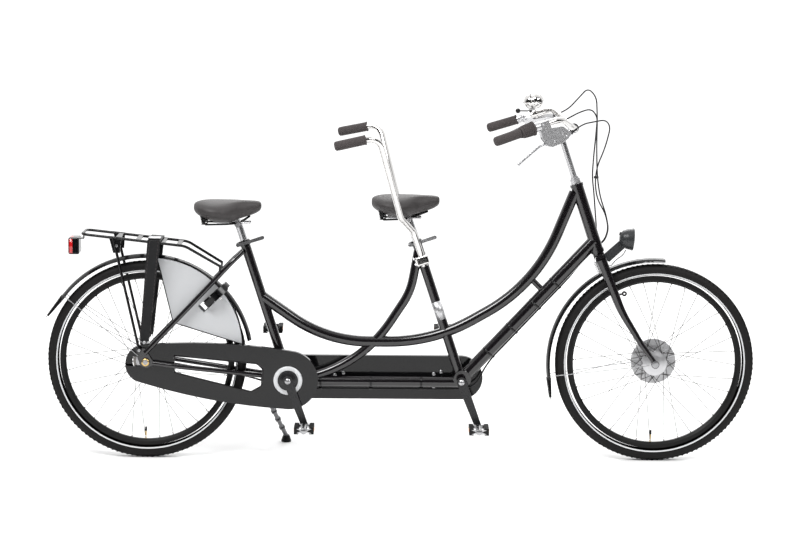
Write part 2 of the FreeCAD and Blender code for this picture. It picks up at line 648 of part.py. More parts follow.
def pedal(bracket, side):
    """A pedal: a barrel on its pin, two end plates and two rubber blocks."""
    eye = pedal_eye(bracket, side)
    start = 83.5 if side == LEFT else 80.5
    length = 104.0
    near = side * start
    far = side * (start + length)
    barrel = rod(at_y(eye, near), at_y(eye, far), 9.5)
    plates = []
    for first, last in ((near + side * 3, near + side * 5.5), (far - side * 5.5, far - side * 3)):
        plates.append(belt_slab(eye - V(27, 0, 0), 8, eye + V(27, 0, 0), 8, first, last))
    pin_hole = rod(at_y(eye, near - side), at_y(eye, side * (start + length - 4)), 4.55)
    frame = fuse([barrel, *plates]).cut(pin_hole)
    blocks = []
    for offset in (-27, 27):
        corners = [(-8, -12), (8, -12), (8, 12), (-8, 12)]
        outline = [(eye.x + offset + x, eye.z + z) for x, z in corners]
        blocks.append(plate(outline, near + side * 5.5, far - side * 5.5))
    return group([frame, *blocks])


def make_pedals():
    for rider, bracket in (("stoker", STOKER_BB), ("captain", CAPTAIN_BB)):
        for word, side in (("right", RIGHT), ("left", LEFT)):
            nodes[rider + "_pedal_" + word] = pedal(bracket, side)


# ---------------------------------------------------------------- saddles
def saddle_pad(nose, length, tilt):
    """A wide sprung-saddle top, lofted through ovals from the tail to the nose."""
    sections = ((0.0, 60, 26, -22), (0.06, 128, 48, -26), (0.2, 196, 68, -32), (0.38, 206, 78, -38),
                (0.52, 172, 76, -38), (0.66, 112, 62, -32), (0.8, 72, 52, -27),
                (0.93, 52, 42, -22), (1.0, 26, 24, -18))
    rings = []
    for share, width, height, middle in sections:
        x = nose.x - length * (1 - share)
        z = nose.z + middle + 22 + tilt * (1 - share)
        centre = V(x, 0, z)
        half_width = width / 2
        half_height = height / 2
        if half_width >= half_height:
            oval = Part.Ellipse(centre + V(0, half_width, 0), centre + V(0, 0, half_height), centre)
        else:
            oval = Part.Ellipse(centre + V(0, 0, half_height), centre + V(0, half_width, 0), centre)
        rings.append(Part.Wire([oval.toShape()]))
    return Part.makeLoft(rings, True, False)


def make_saddle(rider, bracket, degrees, tube_top, clamp_height, nose, length, tilt):
    up = tilt_up(degrees)
    bottom = seat_point(bracket, degrees, tube_top - 125)
    top = seat_point(bracket, degrees, clamp_height)
    post = rod(bottom, top, POST_RADIUS)
    clamp = rod(at_y(top, -24), at_y(top, 24), 13.0)
    rails = []
    for y in (-19, 19):
        rails.append(rod(V(top.x - 75, y, top.z + 4), V(top.x + 45, y, top.z + 4), 3.5))
    pad = saddle_pad(nose, length, tilt)
    hardware = group([fuse([post, clamp]).cut(rails[0]).cut(rails[1]), *rails])
    nodes[rider + "_seatpost"] = hardware.cut(pad)
    nodes[rider + "_saddle"] = pad


def make_saddles():
    make_saddle("stoker", STOKER_BB, SEAT_ANGLE, STOKER_SEAT_TOP, 846, V(409, 0, 906), 240, -2)
    make_saddle("captain", CAPTAIN_BB, CAPTAIN_SEAT_ANGLE, CAPTAIN_SEAT_TOP, 868,
                V(1041, 0, 929), 242, -2)


def quick_lever(ear, degrees):
    """A quick release lever: its cam behind the cross bolt, its flat blade forward beside the tube."""
    up = tilt_up(degrees)
    forward = V(up.z, 0, -up.x)
    pivot = V(ear.x, 0, ear.z)
    cam = rod(at_y(pivot, -20.4) - up * 6, at_y(pivot, -20.4) + up * 6, 5.0)
    blade = belt_slab(pivot, 5.0, pivot + forward * 92, 6.5, -26.8, -22.4)
    return fuse([cam, blade])


# ---------------------------------------------------------------- steering
def bar_point(distance):
    """A point of the right handlebar, measured forward from the end of its grip."""
    along = BAR_PEAK - GRIP_END
    along.normalize()
    return GRIP_END + along * distance


def blade_section(centre, along, half_widths):
    """An oval across a fork blade, longer fore and aft than across."""
    fore = ACROSS.cross(along)
    fore.normalize()
    side = along.cross(fore)
    side.normalize()
    long_half, short_half = half_widths
    oval = Part.Ellipse(centre + fore * long_half, centre + side * short_half, centre)
    return Part.Wire([oval.toShape()])


def tapered_blade():
    spine = bent_path(BLADE_LINE, [400, 300])
    first = blade_section(BLADE_LINE[0], BLADE_LINE[1] - BLADE_LINE[0], BLADE_TOP_HALF_WIDTHS)
    last = blade_section(BLADE_LINE[-1], BLADE_LINE[-1] - BLADE_LINE[-2], BLADE_END_HALF_WIDTHS)
    return spine.makePipeShell([first, last], True, False)


def make_fork():
    up = tilt_up(HEAD_ANGLE)
    crown_centre = head_point(CROWN_HEIGHT)
    steerer_top = head_point(HEAD_HIGH) + up * 30
    steerer = rod(crown_centre, steerer_top, STEERER_RADIUS, QUILL_RADIUS + 0.03)
    crown = rod(at_y(crown_centre, -FORK_HALF_WIDTH), at_y(crown_centre, FORK_HALF_WIDTH),
                CROWN_RADIUS)
    race = rod(crown_centre, head_point(HEAD_LOW) - up * 12.3, 20.0)
    pieces = [crown, race]
    for side in (RIGHT, LEFT):
        end = rod(at_y(FRONT_AXLE, side * DROPOUT_HALF), at_y(FRONT_AXLE, side * (DROPOUT_HALF + 5)),
                  14.0)
        pieces.append(end)
    pieces.extend(both_sides(tapered_blade()))
    eye_inner = at_y(LAMP_EYE, LAMP_EYE.y + 4)
    eye_outer = at_y(LAMP_EYE, LAMP_EYE.y - 4)
    pieces.append(rod(eye_outer, eye_inner, 9.0))
    pieces.append(rod(LAMP_EYE - V(6, 0, 1.4), V(1666, -48, 604), 3.5))
    body = fuse(pieces).cut(rod(at_y(eye_outer, -70), at_y(eye_inner, -50), LAMP_EYE_BORE))
    bore = rod(crown_centre - up * 30, head_point(HEAD_HIGH), QUILL_RADIUS + 0.03)
    axle_hole = rod(at_y(FRONT_AXLE, -70), at_y(FRONT_AXLE, 70), AXLE_RADIUS)
    hub_room = rod(at_y(FRONT_AXLE, -DROPOUT_HALF), at_y(FRONT_AXLE, DROPOUT_HALF), 30.0)
    body = body.cut(bore).cut(axle_hole).cut(hub_room)
    for side in (RIGHT, LEFT):
        body = body.cut(rod(at_y(FRONT_AXLE, side * (DROPOUT_HALF + 5)), at_y(FRONT_AXLE, side * 90), 14.5))
    body = fuse([body, steerer])
    nodes["fork"] = body
    nodes["front_axle"] = group(axle_with_nuts(FRONT_AXLE, DROPOUT_HALF + 5, 68))


def make_stem_and_bar():
    up = tilt_up(HEAD_ANGLE)
    quill_bottom = head_point(930)
    quill_top = head_point(QUILL_TOP)
    bar = bent_tube([GRIP_END, BAR_PEAK, BAR_SHOULDER, at_y(BAR_SHOULDER, 72),
                     at_y(BAR_PEAK, 235), at_y(GRIP_END, 310)], [62, 80, 80, 62],
                    BAR_RADIUS, BAR_RADIUS - WALL)
    clamp_centre = at_y(BAR_SHOULDER, 0)
    clamp = rod(at_y(clamp_centre, -20), at_y(clamp_centre, 20), 17.0)
    neck = rod(quill_top, clamp_centre, 12.0)
    knuckle = Part.makeSphere(13.5, quill_top)
    quill = rod(quill_bottom, quill_top, QUILL_RADIUS)
    bar_room = rod(at_y(clamp_centre, -30), at_y(clamp_centre, 30), BAR_RADIUS)
    body = fuse([quill, knuckle, neck, clamp]).cut(bar_room)
    locknut_low = head_point(HEAD_HIGH) + up * 10.3
    locknut = ring(locknut_low, up, 18, 18.0, STEERER_RADIUS)
    collar = ring(locknut_low + up * 18, up, 6, 15.0, STEERER_RADIUS)
    nodes["stem"] = group([body, locknut, collar])
    nodes["captain_handlebar"] = bar


def grip(start, along, length):
    """A rubber grip with a closed, slightly domed end."""
    profile = [(-4, 0), (-4, 12), (0, GRIP_RADIUS), (length, GRIP_RADIUS - 0.5), (length, BAR_RADIUS),
               (0, BAR_RADIUS), (0, 0)]
    return lathe(profile, start, along)


def left_bar_point(distance):
    return at_y(bar_point(distance), -bar_point(distance).y)


def make_grips():
    nodes["captain_grips"] = group([grip(GRIP_END, BAR_ALONG, RIGHT_GRIP),
                                    grip(left_bar_point(0), LEFT_ALONG, LEFT_GRIP)])
    bore = BAR_RADIUS + 0.05
    profile = [(0, bore), (0, 19), (8, 21.5), (SHIFTER - 9, 23), (SHIFTER - 8, 25.5),
               (SHIFTER - 3, 25.5), (SHIFTER, 21), (SHIFTER, bore)]
    nodes["twist_shifter"] = lathe(profile, bar_point(RIGHT_GRIP + 1), BAR_ALONG)


def lever_frame(side):
    """Where a brake lever's housing starts on the bar, and its along, up and outward directions."""
    if side == RIGHT:
        return bar_point(RIGHT_LEVER_START), BAR_ALONG, BAR_UP, BAR_SIDE
    turn = FreeCAD.Rotation(LEFT_ALONG, LEFT_LEVER_TURN)
    up = turn.multVec(V(BAR_UP.x, -BAR_UP.y, BAR_UP.z))
    out = turn.multVec(V(BAR_SIDE.x, -BAR_SIDE.y, BAR_SIDE.z))
    return left_bar_point(LEFT_LEVER_START), LEFT_ALONG, up, out


def lever_spot(frame, along, above):
    origin, forward, up, out = frame
    return origin + forward * along + up * above


def lever_blade(frame):
    """A brake lever: a boss on its pin, a knee, and a long blade below the grip."""
    out = frame[3]
    pivot = lever_spot(frame, *LEVER_PIVOT)
    knee = lever_spot(frame, *LEVER_KNEE)
    tip = lever_spot(frame, *LEVER_TIP)
    boss = rod(pivot - out * 4.5, pivot + out * 4.5, 9.0)
    blade = bent_tube([pivot, knee, tip], [60], 4.2)
    end = Part.makeSphere(5.5, tip)
    hole = rod(pivot - out * 20, pivot + out * 20, 2.55)
    return fuse([boss, blade, end]).cut(hole)


def prism(frame, outline, half):
    """A plate in the lever's plane, of a given half thickness."""
    out = frame[3]
    points = [lever_spot(frame, along, above) - out * half for along, above in outline]
    return Part.Face(Part.makePolygon(points + points[:1])).extrude(out * half * 2)


def lever_housing(frame, bar_solid):
    """A lever's housing: a clamp on the bar, two cheeks that hold the pin, and a cable stop."""
    forward, up, out = frame[1:]
    body = prism(frame, [(12, 12), (13, -46), (24, -74), (40, -82), (72, -81), (104, -72),
                         (120, -56), (97, -27), (54, -17), (52, 12)], 11.0)
    band = rod(frame[0], frame[0] + forward * 18, 16.0)
    slot = prism(frame, [(-5, -38), (-5, -95), (76, -95), (76, -50), (50, -38)], 5.2)
    pivot = lever_spot(frame, *LEVER_PIVOT)
    pin = rod(pivot - out * 10, pivot + out * 10, 2.5)
    stop_end = lever_spot(frame, 128, -56)
    stop = rod(lever_spot(frame, 104, -60), stop_end, 5.0)
    housing = fuse([fuse([body, band, stop]).cut(slot), pin]).cut(bar_solid)
    return max(housing.Solids, key=lambda piece: piece.Volume)


def make_brake_levers():
    right_bar = bent_tube([GRIP_END, BAR_PEAK, BAR_SHOULDER], [62], BAR_RADIUS)
    right = lever_frame(RIGHT)
    left = lever_frame(LEFT)
    nodes["brake_lever_right"] = lever_blade(right)
    nodes["brake_lever_left"] = lever_blade(left)
    nodes["brake_housings"] = group([lever_housing(right, right_bar),
                                     lever_housing(left, mirrored(right_bar))])


def dome(base, axis):
    """A bell dome: a thin half shell, open towards its base."""
    outer = Part.makeSphere(DOME_RADIUS, base)
    inner = Part.makeSphere(DOME_RADIUS - 1.6, base)
    room = Part.makeCylinder(DOME_RADIUS + 5, DOME_RADIUS + 5, base, axis)
    return outer.cut(inner).common(room)


def make_bell():
    """A two-dome bell on a band round the left bar, with a tongue for its thumb lever."""
    axis = V(BELL_AXIS)
    axis.normalize()
    reach = DOME_RADIUS + DOME_OFFSET
    front = dome(BELL_CENTRE + axis * DOME_OFFSET, axis)
    rear = dome(BELL_CENTRE - axis * DOME_OFFSET, axis * -1)
    spindle = rod(BELL_CENTRE - axis * reach, BELL_CENTRE + axis * reach, 3.0)
    hub = rod(BELL_CENTRE - axis * 4, BELL_CENTRE + axis * 4, 22.0)
    bar_centre = left_bar_point(BELL_BAND_ALONG)
    band = rod(bar_centre - LEFT_ALONG * 4, bar_centre + LEFT_ALONG * 4, 14.0)
    post = rod(bar_centre, BELL_CENTRE, 4.0)
    neck = Part.makeBox(6, 10, 15, BELL_CENTRE + V(-3, -5, -32))
    tongue = Part.makeBox(21, 12, 3.5, BELL_CENTRE + V(-18, -6, -33))
    pin = rod(BELL_PIN + V(0, 0, -1), BELL_PIN + V(0, 0, -11), 2.0)
    head = rod(BELL_PIN + V(0, 0, -9.2), BELL_PIN + V(0, 0, -11), 3.6)
    bar_room = rod(bar_centre - LEFT_ALONG * 20, bar_centre + LEFT_ALONG * 20, BAR_RADIUS)
    mount = fuse([hub, spindle, band, post, neck, tongue, pin, head]).cut(bar_room)
    nodes["bell"] = fuse([mount, front, rear])


def make_bell_lever():
    """The bell's thumb lever: a short arm on its pin with a ball at its end."""
    boss = rod(BELL_PIN + V(0, 0, -3.5), BELL_PIN + V(0, 0, -8.8), 5.5)
    arm = rod(BELL_PIN + V(-3, 0, -6), BELL_BALL, 2.2)
    ball = Part.makeSphere(9.0, BELL_BALL)
    hole = rod(BELL_PIN, BELL_PIN + V(0, 0, -20), 2.05)
    nodes["bell_lever"] = fuse([boss, arm, ball]).cut(hole)


# ---------------------------------------------------------------- stoker's bar
def make_stoker_bar(captain_outer):
    bends = [52, 45, 45, 200]
    leg = bent_tube(STOKER_BAR_LINE, bends, BAR_RADIUS, BAR_RADIUS - WALL)
    leg_outer = bent_tube(STOKER_BAR_LINE, bends, BAR_RADIUS)
    up = tilt_up(CAPTAIN_SEAT_ANGLE)
    middle = seat_point(CAPTAIN_BB, CAPTAIN_SEAT_ANGLE, 722)
    forward = V(up.z, 0, -up.x)
    corner = middle - up * 17 - forward * 24 - V(0, 54, 0)
    block = Part.makeBox(48, 108, 34)
    block.Placement = FreeCAD.Placement(corner, FreeCAD.Rotation(V(0, 1, 0), -CAPTAIN_SEAT_ANGLE))
    block = block.makeFillet(7.0, block.Edges)
    block = block.cut(captain_outer)
    for side in both_sides(leg_outer):
        block = block.cut(side)
    nodes["stoker_handlebar"] = group([*both_sides(leg), *block.Solids])
    along = STOKER_BAR_LINE[1] - STOKER_BAR_LINE[0]
    along.normalize()
    nodes["stoker_grips"] = group(both_sides(grip(STOKER_BAR_LINE[0], along, 106)))


# ---------------------------------------------------------------- mudguards, rack, guards, lights
def mudguard(centre, first_angle, last_angle):
    """A thin arched strip turned about the wheel's axle."""
    half = MUDGUARD_HALF_WIDTH
    edge = MUDGUARD_RADIUS - 12.0
    thickness = 1.6

    def arch(drop):
        radius = MUDGUARD_RADIUS - drop
        low = V(edge - drop, 0, -half + drop)
        high = V(edge - drop, 0, half - drop)
        return Part.Arc(low, V(radius, 0, 0), high), low, high

    outer, low_out, high_out = arch(0)
    inner, low_in, high_in = arch(thickness)
    profile = Part.Wire([outer.toShape(), Part.LineSegment(high_out, high_in).toShape(),
                         inner.toShape(), Part.LineSegment(low_in, low_out).toShape()])
    strip = Part.Face(profile).revolve(V(0, 0, 0), V(0, 0, 1), last_angle - first_angle)
    strip.Placement = FreeCAD.Placement(centre, FreeCAD.Rotation(V(1, 0, 0), 90))
    strip.rotate(centre, ACROSS, -first_angle)
    return strip


def flap(centre, angle, length, width):
    """The flexible tail of a mudguard."""
    start = polar(centre, MUDGUARD_RADIUS - 2.5, angle + 0.3)
    tangent = polar(V(0, 0, 0), 1.0, angle + 90)
    outward = polar(V(0, 0, 0), 1.0, angle)
    corners = []
    for reach, half in ((0, width / 2), (length, width / 2 - 8)):
        corners.extend([start + tangent * reach + V(0, side * half, 0) for side in (-1, 1)])
    outline = [corners[0], corners[1], corners[3], corners[2], corners[0]]
    return Part.Face(Part.makePolygon(outline)).extrude(outward * 2.0)


def make_mudguards():
    stay_radius = 1.6
    rear_strip = mudguard(REAR_AXLE, *REAR_GUARD_ANGLES)
    rear_tip = polar(REAR_AXLE, MUDGUARD_RADIUS - 12, REAR_GUARD_ANGLES[1] - 2, -30.5)
    rear_stay = rod(rear_tip, V(-26, -74, 378), stay_radius)
    rear_flap = flap(REAR_AXLE, REAR_GUARD_ANGLES[1], 88, 50)
    nodes["rear_mudguard"] = group([rear_strip, rear_flap, *both_sides(rear_stay)])
    front_strip = mudguard(FRONT_GUARD_CENTRE, *FRONT_GUARD_ANGLES)
    front_tip = polar(FRONT_GUARD_CENTRE, MUDGUARD_RADIUS - 12, FRONT_GUARD_ANGLES[1] - 2, -30.5)
    front_stay = rod(front_tip, V(1790, -59, 352), stay_radius)
    front_flap = flap(FRONT_GUARD_CENTRE, FRONT_GUARD_ANGLES[1], 72, 50)
    nodes["front_mudguard"] = group([front_strip, front_flap, *both_sides(front_stay)])


def rail_height(x):
    """The height of the rack's rails, which rise a little towards the back."""
    return 771 + (141 - x) * 40.0 / 363.0


def slat(x):
    """A flat steel strip across the rack, parallel to the rails."""
    slope = 40.0 / 363.0
    middle = rail_height(x)
    corners = []
    for run, rise in ((-SLAT_HALF, -1), (SLAT_HALF, -1), (SLAT_HALF, SLAT_TOP), (-SLAT_HALF, SLAT_TOP)):
        corners.append((x + run, middle - run * slope + rise))
    return plate(corners, -68, 68)


def make_rack():
    solids = [bent_tube(RAIL_LINE, [70, 26, 26, 70], RAIL_RADIUS)]
    for x in (-95, -25, 62, 119):
        solids.append(slat(x))
    for side in (RIGHT, LEFT):
        top = V(-112, side * 70, rail_height(-112))
        foot = V(-22, side * 76, 398)
        solids.append(rod(top, foot, RAIL_RADIUS))
        gusset = plate([(-128, 806), (-84, 801), (-88, 745), (-112, 745)], side * 69, side * 71.5)
        solids.append(gusset)
        solids.append(rod(at_y(foot, side * 70.2), at_y(foot, side * 80), 8.0))
        tab_low = V(262, side * 46, 678)
        solids.append(rod(V(264, side * 55, 698), tab_low, 4.0))
    rack = fuse(solids)
    for stay in both_sides(bent_tube(SEAT_STAY_LINE, [90], STAY_RADIUS)):
        rack = rack.cut(stay)
    nodes["rear_rack"] = max(rack.Solids, key=lambda piece: piece.Volume)


def make_rack_straps():
    """Wide elastic straps from the rack's top down both sides to hooks near the axle."""
    x_top = 33.0
    x_foot = -3.0
    width = 46.0
    thickness = 2.0
    roof_height = rail_height(x_top) + 8.0
    solids = []
    for side in (RIGHT, LEFT):
        outline = [(x_top - width / 2, roof_height + thickness), (x_top + width / 2, roof_height - 1),
                   (x_foot + 16, 430), (x_foot - 16, 430)]
        solids.append(plate(outline, side * 82, side * (82 + thickness)))
        solids.append(rod(V(x_foot, side * 79.5, 428), V(x_foot, side * 86, 428), 9.0))
    roof = plate([(x_top - width / 2, roof_height), (x_top - width / 2, roof_height + thickness),
                  (x_top + width / 2, roof_height - 1), (x_top + width / 2, roof_height - 3)], -84, 84)
    clip = plate([(x_top - 20, roof_height + 2.2), (x_top - 20, roof_height + 9),
                  (x_top + 20, roof_height + 6), (x_top + 20, roof_height - 0.6)], -78, -30)
    nodes["rack_straps"] = group([fuse([*solids, roof]), clip])


def make_lights():
    body = Part.makeBox(38, 74, 60, V(-275, -37, 734))
    body = body.makeFillet(6.0, body.Edges)
    bracket = Part.makeBox(16, 40, 3, V(-237.2, -20, 788))
    riser = Part.makeBox(3, 40, 16, V(-224, -20, 788))
    light = fuse([body, bracket, riser])
    rack_bar = rod(V(-222, -70, 811), V(-222, 70, 811), RAIL_RADIUS)
    nodes["tail_light"] = light.cut(rack_bar)
    make_headlight()


def make_headlight():
    """A round lamp on a flat bracket that stands on the fork crown."""
    tilt = math.radians(4.5)
    axis = V(math.cos(tilt), 0, -math.sin(tilt))
    lamp = lathe([(0, 0), (1, 17), (12, 30), (28, 36), (46, 38.5), (49, 37), (49, 0)], V(1681, 0, 801), axis)
    crown = head_point(CROWN_HEIGHT)
    bracket = plate([(1618, 736), (1646, 716), (1706, 772), (1684, 795)], -4, 4)
    crown_room = rod(at_y(crown, -40), at_y(crown, 40), CROWN_RADIUS + 0.4)
    race_room = rod(crown, head_point(HEAD_LOW), 20.4)
    nodes["headlight"] = fuse([lamp, bracket.cut(crown_room).cut(race_room)])


def coat_guard():
    """The right skirt guard: a thin panel inside the mudguard's rim with a wire along its edge."""
    top, corner, low = GUARD_EDGE
    arc_middle = polar(REAR_AXLE, MUDGUARD_RADIUS - 13, 45)
    wire = Part.Wire([Part.LineSegment(top, corner).toShape(), Part.LineSegment(corner, low).toShape(),
                      Part.Arc(low, arc_middle, top).toShape()])
    panel = slab(wire, -GUARD_PLANE - 1.2, -GUARD_PLANE)
    edge_y = -GUARD_PLANE - 1.8
    edge = bent_tube([at_y(top, edge_y), at_y(corner, edge_y), at_y(low, edge_y)], [22], 1.8)
    guard = group([panel.cut(edge), edge])
    notch_direction = polar(V(0, 0, 0), 1.0, LOCK_ANGLE)
    side_way = polar(V(0, 0, 0), 1.0, LOCK_ANGLE + 90)
    start = REAR_AXLE + notch_direction * 268 - side_way * 15
    notch = Part.makePolygon([start, start + notch_direction * 140,
                              start + notch_direction * 140 + side_way * 30,
                              start + side_way * 30, start])
    return guard.cut(slab(notch, -50, 0))


def ring_sector(centre, radial, normal, first, last, profile):
    """Part of a ring round a centre. Angles run from the outward direction about the normal."""
    face = Part.Face(profile)
    sweep = last - first
    solid = face.revolve(V(0, 0, 0), V(0, 0, 1), sweep)
    solid.rotate(V(0, 0, 0), V(0, 0, 1), first)
    across = normal.cross(radial)
    matrix = FreeCAD.Matrix(radial.x, across.x, normal.x, centre.x, radial.y, across.y, normal.y,
                            centre.y, radial.z, across.z, normal.z, centre.z, 0, 0, 0, 1)
    solid.Placement = FreeCAD.Placement(matrix).multiply(solid.Placement)
    return solid


def make_ring_lock():
    """A horseshoe lock round the rear tyre, and the bolt that closes it through the spokes."""
    radial = polar(V(0, 0, 0), 1.0, LOCK_ANGLE)
    centre = REAR_AXLE + radial * LOCK_CENTRE_RADIUS
    normal = radial.cross(ACROSS)

    def box_profile(inside, outside, half_height):
        corners = [V(LOCK_RADIUS - inside, 0, -half_height), V(LOCK_RADIUS + outside, 0, -half_height),
                   V(LOCK_RADIUS + outside, 0, half_height), V(LOCK_RADIUS - inside, 0, half_height)]
        return Part.makePolygon(corners + corners[:1])

    body = ring_sector(centre, radial, normal, -128, 128, box_profile(7.0, 7.0, 10.0))
    channel = ring_sector(centre, radial, normal, -135, 135, box_profile(5.0, 5.0, 5.0))
    key_block = ring_sector(centre, radial, normal, -72, -38, box_profile(6.0, 17.0, 13.0))
    nodes["ring_lock"] = fuse([body, key_block]).cut(channel)
    circle = Part.Wire([Part.Circle(V(LOCK_RADIUS, 0, 0), ACROSS, SHACKLE_RADIUS).toShape()])
    nodes["lock_shackle"] = ring_sector(centre, radial, normal, -4, 124, circle)
    return centre, normal


# ---------------------------------------------------------------- cables
def under_down_tube(distance, side):
    """A point on the line of a cable below the down tube."""
    along = DOWN_TUBE_HIGH - DOWN_TUBE_LOW
    along.normalize()
    below = V(along.z, 0, -along.x)
    return DOWN_TUBE_LOW + along * distance + below * (DOWN_TUBE_RADIUS + 3.5) + V(0, side, 0)


def make_cables():
    """The brake and gear cables: loops from the levers to the frame, then runs along the frame."""
    right_stop = lever_spot(lever_frame(RIGHT), 130, -55.5)
    left_stop = lever_spot(lever_frame(LEFT), 130, -55.5)
    right_ahead = lever_spot(lever_frame(RIGHT), 176, -44)
    left_ahead = lever_spot(lever_frame(LEFT), 186, -34)
    lower = [V(1632, 7, 884), V(1642, 14, 832), V(1630, 31, 790), V(1598, 34, 765), V(1560, 30, 725)]
    offset = V(2, 8, -3)
    gear = cable([right_stop, right_ahead, V(1612, -142, 1234), V(1634, -96, 1205),
                  V(1620, -56, 1130), V(1596, -20, 1060), V(1590, -7, 1005), V(1598, -4, 945), *lower,
                  under_down_tube(CABLE_BREAK + 50, 8), under_down_tube(CABLE_BREAK, 3)])
    rear = cable([left_stop, left_ahead, V(1572, 152, 1326), V(1600, 112, 1296), V(1601, 70, 1220),
                  V(1597, 34, 1140), V(1597, 10, 1068), V(1600, 4, 1010), V(1610, 5, 950),
                  *[point + offset for point in lower],
                  under_down_tube(CABLE_BREAK + 50, 15), under_down_tube(CABLE_BREAK, 10)])
    front = cable([V(1480, -100, 1232), V(1524, -96, 1256), V(1566, -84, 1268), V(1590, -62, 1238),
                   V(1588, -34, 1170), V(1583, -16, 1095), V(1581, 8, 1020), V(1590, 30, 960),
                   V(1600, 36, 850), V(1608, 58, 780), V(1622, 66, 720), V(1690, 68, 545),
                   V(1752, 68, 440), V(1768, 66, 402)])
    nodes["control_cables"] = group([gear, rear, front])
    runs = []
    for first, middle in ((3, -4), (10, 4)):
        runs.append(cable([under_down_tube(CABLE_BREAK - 0.6, first), under_down_tube(110, first),
                           V(1172, middle, 260), V(1090, middle, 252), V(500, middle, 252),
                           V(440, middle + 8, 268), V(404, middle + 10, 279),
                           V(366, middle + 24, 287), V(325, middle + 35, 294),
                           V(120, middle + 61, 324), V(66, middle + 63, 333)]))
    nodes["frame_cables"] = group(runs)


# ---------------------------------------------------------------- assembly
def build():
    make_front_wheel()
    make_rear_wheel()
    make_rear_sprocket()
    rear_shell, stoker_outer, captain_outer, captain_ear, stoker_ear = make_frame_tubes()
    make_stays(rear_shell, stoker_outer)
    make_kickstand()
    make_chain_case()
    make_timing_case()
    make_chains()
    make_cranks()
    make_pedals()
    make_saddles()
    nodes["captain_quick_lever"] = quick_lever(captain_ear, CAPTAIN_SEAT_ANGLE)
    nodes["stoker_quick_lever"] = quick_lever(stoker_ear, SEAT_ANGLE)
    nodes["rear_axle"] = group(axle_with_nuts(REAR_AXLE, REAR_DROPOUT_HALF + 6, 84))
    make_fork()
    make_stem_and_bar()
    make_grips()
    make_brake_levers()
    make_bell()
    make_bell_lever()
    make_stoker_bar(captain_outer)
    make_mudguards()
    make_rack()
    make_rack_straps()
    make_lights()
    nodes["coat_guards"] = group(both_sides(coat_guard()))
    make_ring_lock()
    make_cables()


def place_and_write():
    """Leans the bicycle onto its stand, puts the origin at the middle of its base, and writes it."""
    low = V(1e9, 1e9, 1e9)
    high = V(-1e9, -1e9, -1e9)
    for name in nodes:
        shape = nodes[name]
        shape.rotate(V(0, 0, 0), V(1, 0, 0), -LEAN)
        box = shape.optimalBoundingBox(False)
        low = V(min(low.x, box.XMin), min(low.y, box.YMin), min(low.z, box.ZMin))
        high = V(max(high.x, box.XMax), max(high.y, box.YMax), max(high.z, box.ZMax))
    shift = V(-(low.x + high.x) / 2, -(low.y + high.y) / 2, -low.z)
    print("shift", shift.x, shift.y, shift.z, "size", high - low)
    os.makedirs("parts", exist_ok=True)
    for name, shape in nodes.items():
        shape.translate(shift)
        shape.exportStep("parts/" + name + ".step")


build()
place_and_write()
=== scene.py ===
import math

import bpy
from mathutils import Matrix, Vector


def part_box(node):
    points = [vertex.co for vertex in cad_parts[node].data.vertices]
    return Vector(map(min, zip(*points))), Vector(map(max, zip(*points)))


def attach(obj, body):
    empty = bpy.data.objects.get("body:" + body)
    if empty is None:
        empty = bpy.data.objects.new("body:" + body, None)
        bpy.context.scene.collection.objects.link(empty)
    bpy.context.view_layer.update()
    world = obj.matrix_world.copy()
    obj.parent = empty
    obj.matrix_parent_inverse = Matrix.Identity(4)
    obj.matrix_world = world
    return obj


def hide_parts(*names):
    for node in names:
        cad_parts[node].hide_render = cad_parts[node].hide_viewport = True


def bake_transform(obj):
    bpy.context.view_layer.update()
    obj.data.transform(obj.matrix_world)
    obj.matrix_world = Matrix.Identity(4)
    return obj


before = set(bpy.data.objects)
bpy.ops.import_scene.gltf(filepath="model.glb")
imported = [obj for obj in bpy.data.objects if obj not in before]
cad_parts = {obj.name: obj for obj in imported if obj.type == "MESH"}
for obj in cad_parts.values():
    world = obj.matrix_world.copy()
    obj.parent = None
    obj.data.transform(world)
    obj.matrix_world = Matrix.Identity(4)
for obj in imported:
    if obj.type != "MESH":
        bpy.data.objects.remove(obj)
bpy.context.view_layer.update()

# Every new piece is drawn on the upright bicycle in millimetres, X forward from the rear
# axle, Y to the left and Z up, and then leaned onto the side stand with the rest.

# ---------------------------------------------------------------- the bicycle's own frame
LEAN = math.radians(2.0)
WHEELBASE = 1813.0
CRANK_LENGTH = 170.0
CRANK_ANGLE = 21.0              # how far the cranks' line is turned from upright
STOKER_SEAT_ANGLE = 17.9
CAPTAIN_SEAT_ANGLE = 18.4
TYRE_RADIUS = 355.0
REAR_AXLE = Vector((0, 0, TYRE_RADIUS))
FRONT_AXLE = Vector((WHEELBASE, 0, TYRE_RADIUS))
STOKER_BB = Vector((505, 0, 290))
CAPTAIN_BB = Vector((1123, 0, 290))
ACROSS = Vector((0, 1, 0))
MM = 0.001


def frame_matrix():
    """Turns the upright bicycle's millimetres into the frame's metres."""
    lean = Matrix.Rotation(-LEAN, 4, "X")
    low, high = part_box("front_tyre")
    centre = (low + high) / 2
    shift = centre - (lean @ FRONT_AXLE) * MM
    return Matrix.Translation(shift) @ lean @ Matrix.Scale(MM, 4)


TO_FRAME = frame_matrix()


def polar(centre, radius, degrees, y=0.0):
    angle = math.radians(degrees)
    return Vector((centre.x + radius * math.cos(angle), y, centre.z + radius * math.sin(angle)))


def at_y(point, y):
    return Vector((point.x, y, point.z))


# ---------------------------------------------------------------- camera, floor and light
PHOTO_CAMERA = Vector((865.3, -8746.4, 2181.5))     # from the rear tyre's contact point
CAMERA_YAW = 0.0039
CAMERA_PITCH = 0.1682
CAMERA_ROLL = 0.0078
LENS = 112.5


